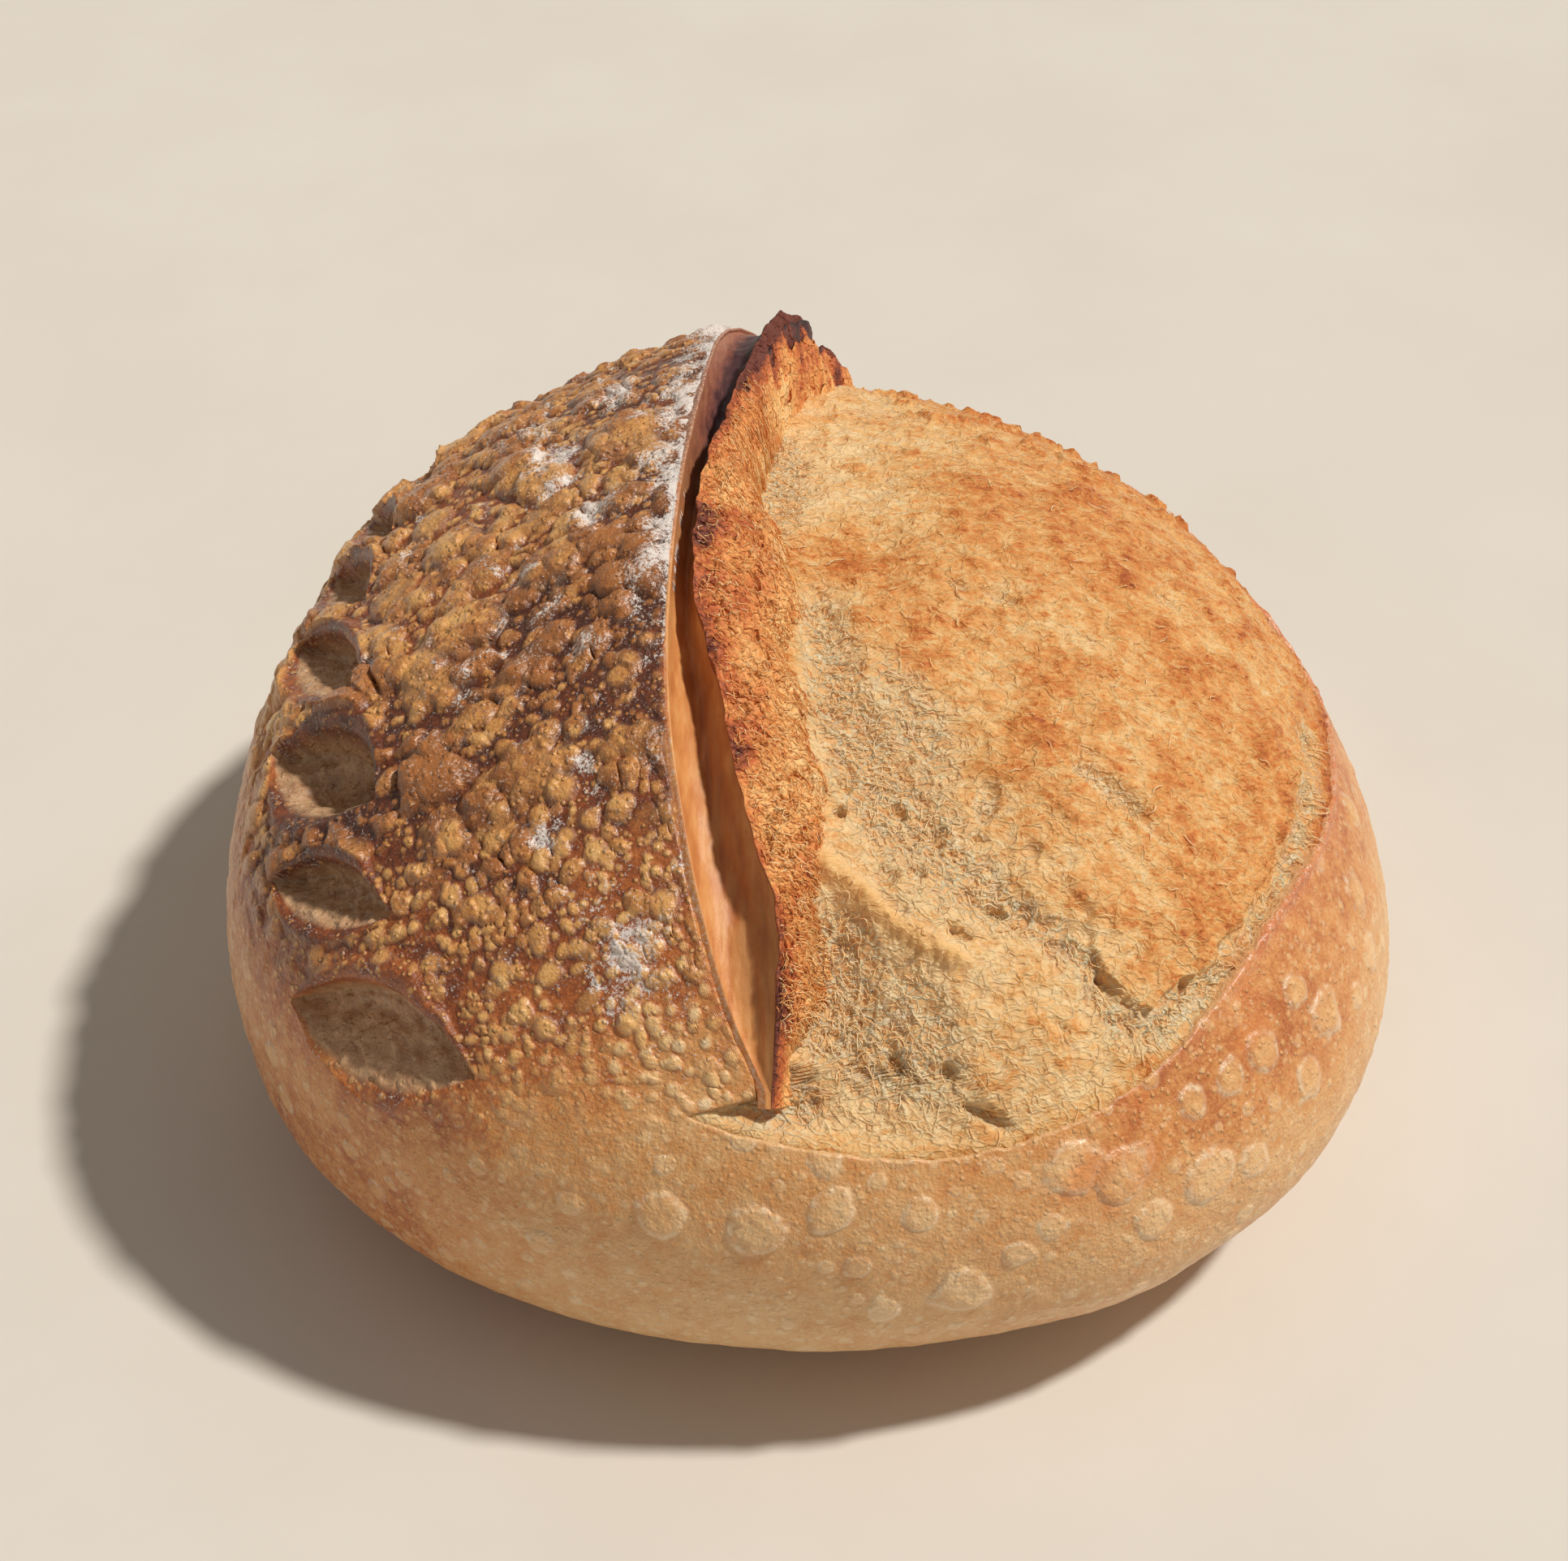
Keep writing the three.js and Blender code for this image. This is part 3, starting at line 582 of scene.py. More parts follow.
# The underside is the flat sole that baked against the oven's floor, with the first curve of the side above it. It
# reaches up to SOLE_TOP, a latitude just above the lower seam, and is closed by a lid inside the loaf.
SOLE_TOP, LID_HEIGHT, LID_INSET = -13.5, 26.0, 0.97
bpy.ops.object.select_all(action="DESELECT")
bpy.ops.mesh.primitive_uv_sphere_add(segments=300, ring_count=100, radius=1)
base = bpy.context.object
base.name = "base_crust"
flat = np.empty(len(base.data.vertices) * 3)
base.data.vertices.foreach_get("co", flat)
way = unit(flat.reshape(-1, 3))
azimuth, ring = angles_of(way)
latitude = along(((-90, -90), (-70, -55), (30, SOLE_TOP), (34, -13.8), (60, -40), (90, -90)), ring)
lid = ring > 32
way = toward(azimuth, np.where(ring >= 89.9, -90, latitude))
height, masks = crust(way)
height -= SEAM_DIP * smooth(LOWER_SEAM - 0.2, LOWER_SEAM + 0.5, latitude)
points = lifted(way, height)
points[:, 2] = np.where(dome(way)[:, 2] <= 0, 0, np.maximum(points[:, 2], 0))
share = smooth(90, 32, ring[lid])[:, None]
rim_points = dome(toward(azimuth[lid], np.full(lid.sum(), SOLE_TOP)))
points[lid] = rim_points * share * LID_INSET + np.array([0, 0, LID_HEIGHT]) * (1 - share)
masks["toast"] += 0.3 * (1 - smooth(0, 9, points[:, 2]))
base.data.vertices.foreach_set("co", (points / 1000).ravel())
keep_masks(base.data, masks)
bpy.ops.object.shade_smooth()
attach(base, "root")
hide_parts("loaf")
crust_pieces.append(base)

# The blistered crust left of the score: dark, glossy skin packed with golden bubbles, dusted with flour beside its
# rim, and opened by seven short leaf-shaped cuts on the flank. It ends at the thin lifted rim of the score.
def rim_latitude(azimuth):
    turned, latitudes = np.linspace(88, 269, 420), np.linspace(18, 89.5, 600)
    x, y, _ = np.moveaxis(dome(toward(turned[:, None], latitudes)), -1, 0)
    left = (along(RIM_LINE, y) > x) | (y < RIM_LINE[0][0]) | (y > RIM_LINE[-1][0])
    reached = np.where(left.all(axis=1), latitudes[-1], latitudes[np.argmin(left, axis=1)])
    return np.interp(azimuth, turned, reached)


def waist(azimuth):
    beside_bloom = bloom_edge_in(azimuth - 360)
    return np.where(azimuth > 256, beside_bloom, along(((90, 36), (228, 36), (256, 32.2)), azimuth))


def upper_edge(azimuth):
    return np.maximum(rim_latitude(azimuth), waist(azimuth) + 0.4)


def end_edge(azimuth):
    return np.maximum(rim_latitude(azimuth), bloom_edge_in(azimuth) + 0.05)


crust_pieces += [
    skin_piece("left_crust_front", 350, 265, crust_zone((256, 170), bottom_edge, waist)),
    skin_piece("left_crust_back", 240, 190, crust_zone((170, 97), bottom_edge, waist)),
    skin_piece("left_crust_tip", 300, 200, crust_zone((268, 218), waist, upper_edge)),
    skin_piece("left_crust_top", 400, 235, crust_zone((218, 97), waist, upper_edge)),
    skin_piece("left_crust_end", 36, 60, crust_zone((97, 88.5), bloom_edge_in, end_edge)),
]
for piece in crust_pieces:
    piece.data.materials.append(baked_skin)

# The smooth face that the blade left in the dough: a groove from front to back under the lifted rim, its skin drawn
# out in fine lengthwise fibres as it opened, and baked light brown. Painted shade darkens it to purple-brown towards
# the high end and most under the crest, and to red-brown in its deepest part lower down.
CREST_LINE = ((-96, -7), (-86, -6.3), (-72, -7.9), (-62, -10.8), (-49, -14), (-35, -17), (-18, -18.8), (13, -16.4),
              (37, -11.7), (54, -7.8), (70, -3), (84, 2), (98, 5))
CREST_HEIGHT = ((-96, 0), (-88, 4.5), (-72, 8.3), (-42, 10.3), (-11, 11.8), (24, 14.3), (54, 14.9), (64, 14),
                (74, 8.8), (84, 6.8), (98, 0))
FOOT_LINE = ((-96, -5), (-85, -2.4), (-74, -1.8), (-66, 1.5), (-53, 1.3), (-41, -1), (-27, -3.4), (-8, -3.4),
             (12, -9.4), (22, -10), (34, -8.8), (48, -4.6), (62, -4), (72, -1.5), (82, 5), (90, 8.6), (98, 9))
SCORE_FRONT, SCORE_LENGTH = -97.5, 196
GROOVE_DEPTH = ((-96, 0), (-84, 3), (-62, 6), (-20, 6.5), (30, 5.5), (60, 3), (98, 0))


def row_noise(y, size, seed, layers=1):
    return uneven(np.stack([y, np.zeros_like(y) + 0.5], -1), size, seed, layers)


def score_lines(y):
    """At each y: x and height of the rim and of the crest, x of the ear's foot, and 0 at the score's ends."""
    end = smooth(-97, -84, y) * (1 - smooth(84, 98, y))
    rim, rim_up = along(RIM_LINE, y), along(RIM_HEIGHT, y)
    crest = along(CREST_LINE, y) + end * (0.9 * row_noise(y, 11, 71) + 0.45 * row_noise(y, 3.2, 72, 2))
    crest = np.maximum(crest, rim + 0.45 + 2.6 * end)
    rags = row_noise(y, 13, 73) + (0.6 + 0.5 * smooth(20, 50, y)) * row_noise(y, 4, 74, 3)
    crest_up = along(CREST_HEIGHT, y) + 0.8 * end * rags
    foot = along(FOOT_LINE, y) + end * (1.1 * row_noise(y, 9, 75) + 0.7 * row_noise(y, 2.6, 76, 2))
    foot = np.maximum(foot, crest + 1.0 + 5.5 * end)
    return rim, rim_up, crest, crest_up, foot, end


def through(knots, t):
    """A smooth run through rows of knots (knot, point), at t from 0 to the last knot."""
    knots = np.array(knots)
    last = len(knots) - 1
    i = np.clip(np.floor(t).astype(int), 0, last - 1)
    s = t - i
    every = np.arange(knots.shape[1])
    a, b, c, d = (knots[np.clip(i + k, 0, last), every] for k in (-1, 0, 1, 2))
    return b + 0.5 * s * (c - a + s * (2 * a - 5 * b + 4 * c - d + s * (3 * (b - c) + d - a)))


def on_dome(x, y, height):
    return lifted(way_over(x, y), height)


def cut_face_shape(u, v):
    y = SCORE_FRONT + SCORE_LENGTH * v
    rim, rim_up, crest, crest_up, _, end = score_lines(y)
    gap, deep = crest - rim, along(GROOVE_DEPTH, y)
    floor_up = rim_up * 0.5 + crest_up * 0.5 - deep
    xs = [rim - 1.2, rim + 0.1, rim + 0.55 * end, rim + 0.4 * end, rim + 0.22 * gap, rim + 0.55 * gap,
          rim + 0.8 * gap, crest + 0.4 * end, crest + 1.6 * end]
    hs = [rim_up - 0.8, rim_up + 0.15 * end, rim_up - 0.05, rim_up - 0.9 * end, rim_up - 0.6 * deep, floor_up,
          crest_up - 0.95 * deep, crest_up - 0.62 * deep, crest_up - 0.55 * deep]
    t = u * (len(xs) - 1)
    x, height = through(xs, t), through(hs, t)
    grain_place = np.stack([x * 1.2 + 0.02 * y, y / 4, height / 2], -1)
    fibre = uneven(grain_place, 1.1, 81, 3)
    place = np.stack([x, y], -1)
    face = smooth(0.3, 0.45, u)
    height += end * face * (0.16 * fibre + 0.3 * uneven(place, 6, 82, 2))
    height += end * (1 - face) * 0.12 * uneven(place, 1.6, 83, 2)
    high = smooth(-25, 22, y + 6 * uneven(place, 14, 84, 2))
    # The high and under masks place painted shade on the groove's high end and under the crest, and deep places
    # painted shade in its deepest part lower down; high also widens the floured lip.
    masks = dict(high=high, fibre=0.5 + 0.5 * fibre, deep=hump(u - 0.68, 0.16) * end * (1 - high),
                 lip=1 - smooth(0.1, 0.2 + 0.16 * high, u), under=smooth(0.35, 0.8, u))
    return on_dome(x, y, height), masks


cut_face = skin_piece("cut_face", 80, 460, cut_face_shape)
drawn_skin, tree, skin = new_finish("drawn_skin")
threads = speckle(tree, 1.3, 4, 0.65, stretch=(1.0, 0.3, 1.0))
golden = plus(tree, "fibre", sway(tree, threads, 0.15))
golden = steps(tree, golden, (0.1, 204, 130, 72), (0.5, 220, 150, 86), (0.9, 230, 168, 104))
# Painted shade on the high end: reddish brown by the rim, darkening to near black purple under the crest.
rim_brown_to_crest_shade = steps(tree, plus(tree, "under", sway(tree, threads, 0.15)),
              (0.0, 172, 112, 84), (0.25, 134, 78, 62), (0.5, 76, 42, 44), (1.0, 54, 32, 38))
pale = times(tree, "lip", spread(tree, speckle(tree, 0.6, 3, 0.75), 0.46, 0.66, 0.0, 0.85))
# Over the golden fibres: the painted shade on the high end, painted red-brown shade in the deepest part, then the
# pale floured lip.
colour = painted(tree, golden, ("high", rim_brown_to_crest_shade), (spread(tree, "deep", 0.3, 1.0, 0.0, 0.5), tone(140, 70, 36)),
                 (pale, tone(236, 212, 192)))
feed(tree, skin, {"Base Color": colour, "Roughness": 0.5, "Normal": bump(tree, 0.5, 0.0003, threads)})
cut_face.data.materials.append(drawn_skin)

# The ear: the torn edge of the dough that stood up as the score opened. Its crest is a ragged baked edge that leans
# over the groove, and its right side is fibrous crumb toasted orange to red-brown, which falls to the bloom.
def bloom_swell(x, y):
    swell = 0.0
    for sx, sy, reach, height in ((44, 8, 46, 2.6), (12, -46, 19, -3.2), (4, -88, 15, -4.2), (14, -71, 7, 2.2),
                                  (48, -72, 9, -1.6), (6, 26, 14, -1.8), (30, -22, 15, -2.4), (8, 2, 12, -2.6),
                                  (30, -70, 12, -1.6), (40, -48, 8, 1.5), (66, -34, 9, -1.4)):
        swell += height * spot(x, y, sx, sy, reach)
    return swell


def ear_shape(u, v):
    y = SCORE_FRONT + SCORE_LENGTH * v
    _, _, crest, crest_up, foot, end = score_lines(y)
    deep, wide = along(GROOVE_DEPTH, y), foot - crest
    swell = bloom_swell(foot + 2, y) - 1.0
    xs = [crest + 0.3 + 1.5 * end, crest + 0.5 * end, crest - 0.1 * end, crest + 0.4 * end, crest + 0.3 * wide,
          crest + 0.58 * wide, crest + 0.84 * wide, foot + 0.2, foot + 3.6]
    hs = [crest_up - 0.75 * deep, crest_up - 0.6 * deep, crest_up - 0.7 * end, crest_up + 0.1,
          crest_up * 0.9 + swell * 0.1, crest_up * 0.66 + swell * 0.34, crest_up * 0.34 + swell * 0.66,
          swell - 0.3, swell - 2.8]
    t = u * (len(xs) - 1)
    x, height = through(xs, t), through(hs, t)
    face = smooth(0.3, 0.45, u)
    place = np.stack([x, y, height], -1)
    squeezed = bent(place * np.array([0.75, 1, 0.85]), 3, 0.8, 91)
    pits, small_pits = open_cells(squeezed, ((2.8, 93), (1.3, 95)), (0.02, 0.4), 0.3)
    threads = uneven(np.stack([x / 2.4, y + 0.9 * uneven(place, 5, 96), height / 1.8], -1), 0.8, 97, 3)
    threads += (uneven(place, 1.5, 90, 3) - threads) * smooth(12, 36, y)
    lumps = uneven(place, 9, 98, 2) * (1 + 0.6 * smooth(20, 50, y))
    shreds = smooth(0.1, 0.6, uneven(bent(place, 4, 1.5, 94), 3.4, 92, 2)) * smooth(15, 40, y)
    rough = 1.1 * lumps + 0.35 * threads - 1.1 * pits - 0.5 * small_pits - 1.6 * shreds
    height += end * (face * rough + (1 - face) * smooth(0.05, 0.2, u) * (0.25 * lumps + 0.2 * threads))
    for px, py, reach, drop in ((-1.5, 79, 2.2, 3.5), (-7, 20, 2.6, 2.2), (-9.5, -8, 2.4, 1.6), (-9, -22, 3, 1.8)):
        height -= drop * spot(x, y, px, py, reach)
    toast = 0.46 + 0.3 * hump(u - 0.37, 0.1) + 0.16 * smooth(10, 60, y)
    toast -= (0.38 - 0.2 * smooth(25, 50, y)) * smooth(0.52, 0.86, u)
    toast += 0.66 * hump(u - 0.38, 0.15) * smooth(22, 48, y) + 0.2 * lumps + 0.22 * shreds
    toast += 0.22 * hump(np.hypot(x + 9, (y + 20) / 1.6), 7) + 0.24 * spot(x, y, 0.5, -65, 5)
    toast += 0.2 * hump(np.hypot(x + 6, (y - 32) / 1.4), 6)
    toast += 0.22 * uneven(place, 6, 99, 3) + 0.16 * smooth(62, 84, -y)
    masks = dict(toast=np.clip(toast, 0, 1.2), pit=0.6 * pits + 0.4 * small_pits, skin=1 - smooth(0.26, 0.36, u),
                 high=smooth(30, 70, y))
    return on_dome(x, y, height), masks


ear = skin_piece("ear", 150, 620, ear_shape)


def drawn_place(tree, pull, swirl):
    """The place in the dough, pulled out along the fibres and stirred a little."""
    place = object_place(tree)
    pulled = add(tree, "Mapping", {"Vector": place, "Rotation": (0, 0, math.radians(18)), "Scale": pull}).outputs[0]
    stirred = add(tree, "TexNoise", {"Vector": place, "Scale": 260.0, "Detail": 2.0}).outputs["Color"]
    terms = {0: stirred, 1: (swirl, swirl, swirl), 2: pulled}
    return add(tree, "VectorMath", terms, operation="MULTIPLY_ADD").outputs[0]


def cell_walls(tree, place, millimetres, wall):
    """Thin walls between small open cells: 1 on a wall, 0 in the cells."""
    cell = add(tree, "TexVoronoi", {"Vector": place, "Scale": 1000 / millimetres}, feature="DISTANCE_TO_EDGE")
    return spread(tree, cell.outputs["Distance"], 0.0, wall, 1.0, 0.0, "SMOOTHSTEP")


torn_crumb, tree, skin = new_finish("toasted_torn_crumb")
fine, middle = speckle(tree, 0.8, 4, 0.7), speckle(tree, 3.2, 4)
toast = plus(tree, "toast", sway(tree, fine, 0.14), sway(tree, middle, 0.1))
colour = steps(tree, toast, (0.0, 254, 222, 168), (0.25, 250, 200, 130), (0.5, 240, 164, 92),
               (0.75, 206, 108, 56), (1.0, 112, 52, 38))
# The crest's edge and the face under it: brown, darkening to purple-brown towards the high end; partly a burnt edge,
# partly painted shade under the crest.
dark_skin = steps(tree, plus(tree, "high", sway(tree, fine, 0.15)),
                  (0.0, 166, 88, 50), (1.0, 78, 44, 46))
# Painted shade in the pits: a darker orange-brown laid over the torn crumb, deeper into each cell.
colour = painted(tree, colour, (spread(tree, "pit", 0.4, 1.0, 0.0, 0.25), tone(180, 92, 40)), ("skin", dark_skin))
torn_place = drawn_place(tree, (0.6, 1.0, 0.8), 0.0024)
raised = bump(tree, 0.7, 0.0005, cell_walls(tree, torn_place, 1.6, 0.16), Normal=bump(tree, 0.7, 0.0004, fine))
feed(tree, skin, {"Base Color": colour, "Roughness": 0.62, "Normal": raised})
ear.data.materials.append(torn_crumb)

# The bloom: the crumb that swelled out of the open score and baked without a skin. It is fine drawn-out fibres over
# small open cells, toasted golden where it stands proud and pale where it tore open last, in the hollows beside the
# ear, at the front, and along the lip of the lower crust. A smooth band of dough crosses it, and a browned patch of
# skin with a jagged lower edge covers its right side.
# Hollows and pores are ovals: middle x and y, half length, half width, turn, depth, and how pale a hollow is.
OPEN_HOLLOWS = ((-5.5, 24, 20, 5.0, 86, 1.2, 0.95), (3, -30, 19, 5, -84, 1.7, 1.0), (8, -46, 20, 7, -72, 1.8, 1.0),
                (16, -58, 14, 8, -60, 1.6, 1.0), (24, -66, 8, 6, -30, 1.6, 1.0), (16, -38, 15, 6, -70, 0.8, 0.7),
                (4, -80, 10, 6, -75, 1.7, 1.0), (8, -89, 14, 7, -25, 1.6, 1.0), (16, -86, 9, 5, -50, 0.8, 0.8),
                (-6, -97, 9, 3.5, 0, 1.6, 0.9), (1, -18, 6, 4, -80, 1.8, 0.9), (12, -74, 5, 3, -40, 1.2, 0.9))
DOUGH_BAND = ((-2, -62.5), (3.9, -68.2), (10.3, -73.5), (16.4, -76.9), (22.5, -78.1), (30, -77.5))
BROWN_EDGE = ((27, -44), (33.6, -53.7), (37, -61.2), (41.9, -67.3), (44.2, -73.8), (46.8, -77.4), (51.8, -77.8),
              (58.8, -71.2), (66.4, -62.2), (75, -44), (80.6, -22))
PALE_TEAR = ((31, -69.5), (37.7, -72), (42.8, -75), (46, -80.2), (51, -80.8), (57, -76.5), (64, -69))
RIM_TEAR = ((58.7, -73.5), (63.6, -67.8), (70, -60), (76, -50), (80.6, -37), (84.4, -20), (85, -8))
PORES = ((46.4, -45.6, 6.4, 2.7, -22, 2.4), (53, -50, 3.2, 1.3, -35, 1.0), (30.6, -8, 3.4, 1.2, -20, 1.2),
         (23.6, -7, 2.2, 1.0, -30, 1.0), (59.5, 5, 3.0, 1.4, -30, 0.8), (43, -39, 3.0, 0.9, -25, 0.9),
         (26.1, -96.2, 3.8, 0.9, -8, 2.6), (69, -6, 2.2, 1.1, -40, 0.7), (45.4, -77.0, 1.8, 1.3, -50, 1.5),
         (-13, -98.2, 2.4, 0.8, 0, 1.6), (27, -52, 2.0, 4.2, -15, 1.6), (3.7, -56, 1.2, 1.0, 0, 2.6),
         (10.6, -67.2, 2.2, 1.5, 20, 1.6), (15.6, -65.7, 1.8, 1.3, 40, 1.5), (13.5, -54.4, 1.7, 1.1, -60, 1.6),
         (28.2, -69.7, 1.8, 0.9, -10, 1.8), (22.3, -74.2, 2.0, 0.7, -15, 1.5), (35.8, -70, 1.2, 1.0, 0, 1.3),
         (-6.9, -94.3, 1.8, 1.1, -10, 2.0), (20.2, -92.3, 1.3, 1.2, 0, 1.8), (12.7, -92.4, 1.7, 1.0, -30, 1.5),
         (33.7, -59.4, 1.8, 1.2, 30, 1.2), (4.6, -50.6, 1.5, 0.9, -50, 1.4), (19.4, -59, 1.6, 1.0, -70, 1.3),
         (25.9, -58.4, 1.4, 0.8, 10, 1.2), (37, -84, 1.6, 0.6, -20, 0.8))

# How steeply the crumb's threads run across the loaf, at each y.
THREAD_SLOPE = ((-100, 0.75), (-85, 0.8), (-65, 0.45), (-20, 0.12), (20, -0.02), (100, -0.12))


def to_path(x, y, path):
    """Distance to a path, how far along it the nearest point is, and which side of it the point lies on."""
    best, share, side = np.full(np.shape(x), 1e9), np.zeros(np.shape(x)), np.zeros(np.shape(x))
    for i, ((ax, ay), (bx, by)) in enumerate(zip(path[:-1], path[1:])):
        dx, dy = bx - ax, by - ay
        t = np.clip(((x - ax) * dx + (y - ay) * dy) / (dx * dx + dy * dy), 0, 1)
        away = np.hypot(x - ax - t * dx, y - ay - t * dy)
        closer = away < best
        share = np.where(closer, (i + t) / (len(path) - 1), share)
        side = np.where(closer, np.sign(dx * (y - ay) - dy * (x - ax)), side)
        best = np.minimum(best, away)
    return best, share, side


def oval(x, y, middle_x, middle_y, long, wide, turn):
    """The square of the distance to an oval's middle, 1 on its edge."""
    c, s = math.cos(math.radians(turn)), math.sin(math.radians(turn))
    x, y = x - middle_x, y - middle_y
    return ((x * c + y * s) / long) ** 2 + ((y * c - x * s) / wide) ** 2


def crumb(x, y):
    """Height of the open crumb over the dome, and its finish: pale, toast, pit (where painted shade goes in the
    cells), thread, band.
    """
    place = dome(way_over(x, y))
    up = place[..., 2]
    drift = uneven(place, 9, 101, 2)
    open_crumb, drop = np.zeros_like(x), np.zeros_like(x)
    for *shape, depth, paleness in OPEN_HOLLOWS:
        inside = np.exp(-(oval(x, y, *shape) * (1 + 0.3 * drift)) ** 1.5)
        drop = np.maximum(drop, depth * inside)
        open_crumb = np.maximum(open_crumb, paleness * inside)
    band_away, band_share, _ = to_path(x, y, DOUGH_BAND)
    band_ends = (1 - smooth(0.7, 1.0, band_share)) * smooth(-0.02, 0.1, band_share)
    band = hump(band_away, 2.7 - 1.2 * band_share) * band_ends
    jag = 1.1 * uneven(place, 3.2, 103, 2) + 0.8 * uneven(place, 1.3, 104)
    edge_away, _, edge_side = to_path(x, y, BROWN_EDGE)
    inward = edge_away * edge_side + jag
    jagged = np.clip(smooth(56, 66, -y) * smooth(34, 40, x) + smooth(60, 66, x), 0, 1)
    browned = smooth(-0.4 - 7 * (1 - jagged), 0.5 + 7 * (1 - jagged), inward)
    browned *= smooth(-0.2, 1.0, (x - 24 + 0.35 * (y + 44)) / 6)
    tear_away, _, _ = to_path(x, y, PALE_TEAR)
    tear = hump(tear_away + 0.9 * jag, 2.6) * smooth(0.5, -0.5, inward)
    rim_away, _, _ = to_path(x, y, RIM_TEAR)
    patch = smooth(-0.2, 0.5, uneven(place, 8, 105, 2) + 0.25)
    rim_tear = hump(rim_away + 0.5 * jag, 1.9) * (0.35 + 0.65 * patch)
    open_crumb = np.clip(np.maximum.reduce([open_crumb, tear, rim_tear]) * (1 - 0.9 * band), 0, 1)
    open_crumb *= 1 - 0.85 * browned * (1 - rim_tear)
    slope = along(THREAD_SLOPE, y)
    across = y + slope * x + 0.0016 * (x - 30) ** 2 + 1.3 * drift
    squeezed = bent(np.stack([x / (1.25 + 0.5 * smooth(10, 40, x)), across, up], -1), 3.5, 0.9, 106)
    pits = list(open_cells(squeezed, ((3.6, 107), (1.9, 110)), (0.0, 0.24), 0.1))
    threads = uneven(np.stack([x / 2.4, across, up], -1), 0.75, 112, 3)
    long_threads = uneven(np.stack([x / 6, across, up], -1), 2.0, 113, 2)
    lumps = uneven(place, 6, 115, 3)
    height = bloom_swell(x, y) - drop + 0.45 * lumps
    height = height - 0.8 * open_crumb * pits[0] - (0.3 + 0.25 * open_crumb) * pits[1]
    flakes = smooth(0.35, 0.75, uneven(bent(place, 5, 1.5, 117), 3.6, 118, 2)) * (1 - open_crumb)
    height += (0.35 + 0.75 * smooth(20, 60, y) + 0.3 * smooth(50, 75, x)) * flakes
    height += 0.14 * threads + 0.2 * long_threads
    height += band * (1.9 + 0.3 * threads + 0.4 * pits[1]) + 1.1 * browned * jagged * smooth(16, 4, edge_away)
    height = height - 1.3 * tear * (0.5 + 0.5 * pits[1]) - 1.3 * rim_tear * (0.4 + 0.6 * pits[0])
    for *shape, depth in PORES:
        pore = np.exp(-(oval(x, y, *shape) ** 3))
        height -= depth * pore
        open_crumb = np.maximum(open_crumb, 0.75 * pore * min(1, depth / 2))
    toast = 0.31 + 0.2 * smooth(15, 70, x) + 0.05 * smooth(0, 40, y) - 0.1 * smooth(-15, -55, y)
    toast += 0.15 * uneven(place, 13, 114, 3) + 0.12 * long_threads
    toast += 0.3 * hump(np.hypot((x - 3) / 1.4, y + 4), 6) + 0.22 * spot(x, y, 19, -24, 8)
    toast += 0.2 * spot(x, y, 34, -36, 8) - 0.45 * open_crumb - 0.14 * smooth(-40, -90, y)
    toast += 0.12 * flakes + 0.12 * threads - 0.22 * hump(x + 1, 13) * smooth(5, 20, y) + 0.1 * lumps
    # The mask of how far into a cell each point lies carries painted shade in the cells.
    masks = dict(pale=open_crumb, toast=np.clip(toast, 0, 1.1), pit=(pits[0] * open_crumb + pits[1]) / 1.6,
                 thread=0.5 + 0.5 * threads, band=band)
    return height, masks


def bloom_limits(y):
    """The x of the bloom's lower edge at each y, just under the crust's lip."""
    x = np.linspace(-30, 104, 700)
    grid_y = np.linspace(-104, 104, 420)
    ways = way_over(*(m.ravel() for m in np.meshgrid(x, grid_y)))
    within = (inside_bloom(ways) > -0.9).reshape(len(grid_y), len(x))
    furthest = np.where(within.any(1), x[len(x) - 1 - np.argmax(within[:, ::-1], axis=1)], np.nan)
    nearest = np.where(within.any(1), x[np.argmax(within, axis=1)], np.nan)
    good = ~np.isnan(furthest)
    right, left = (np.interp(y, grid_y[good], edge[good]) for edge in (furthest, nearest))
    return right, left, grid_y[good][[0, -1]]


_, _, bloom_ends = bloom_limits(np.zeros(1))


def bloom_shape(u, v):
    start, stop = bloom_ends[0] + 0.2, bloom_ends[1] - 0.2
    y = start + (stop - start) * (0.6 * v + 0.4 * v * v)
    right, left, _ = bloom_limits(y)
    *_, foot, end = score_lines(y)
    first = foot - 2.8 * end + (np.minimum(left, foot) - foot) * (1 - smooth(-97, -92, y))
    first = np.minimum(first, right - 0.5)
    x = first + (right - first) * u
    height, masks = crumb(x, y)
    inside = inside_bloom(way_over(x, y))
    height = height * (1 - hump(inside, 4.0) * smooth(66, 84, -y)) - 0.2 * hump(inside, 1.0) - 0.15
    masks["toast"] += 0.2 * hump(inside, 3.5)
    return on_dome(x, y, height), masks


bloom = skin_piece("bloom", 296, 332, bloom_shape)
open_crumb, tree, skin = new_finish("open_crumb")
fine, middle = speckle(tree, 0.7, 4, 0.7, stretch=(0.4, 1.0, 1.0)), speckle(tree, 3.4, 4)
dough_place = drawn_place(tree, (0.65, 1.0, 1.0), 0.004)
wide_walls, small_walls = cell_walls(tree, dough_place, 3.0, 0.1), cell_walls(tree, dough_place, 1.4, 0.14)
walls = sum_of(tree, "MULTIPLY_ADD", small_walls, 0.6, plus(tree, wide_walls, sway(tree, fine, 0.2)))
flecks = spread(tree, speckle(tree, 1.5, 3, 0.75, stretch=(0.5, 1.0, 1.0)), 0.54, 0.66, 0.0, 0.24)
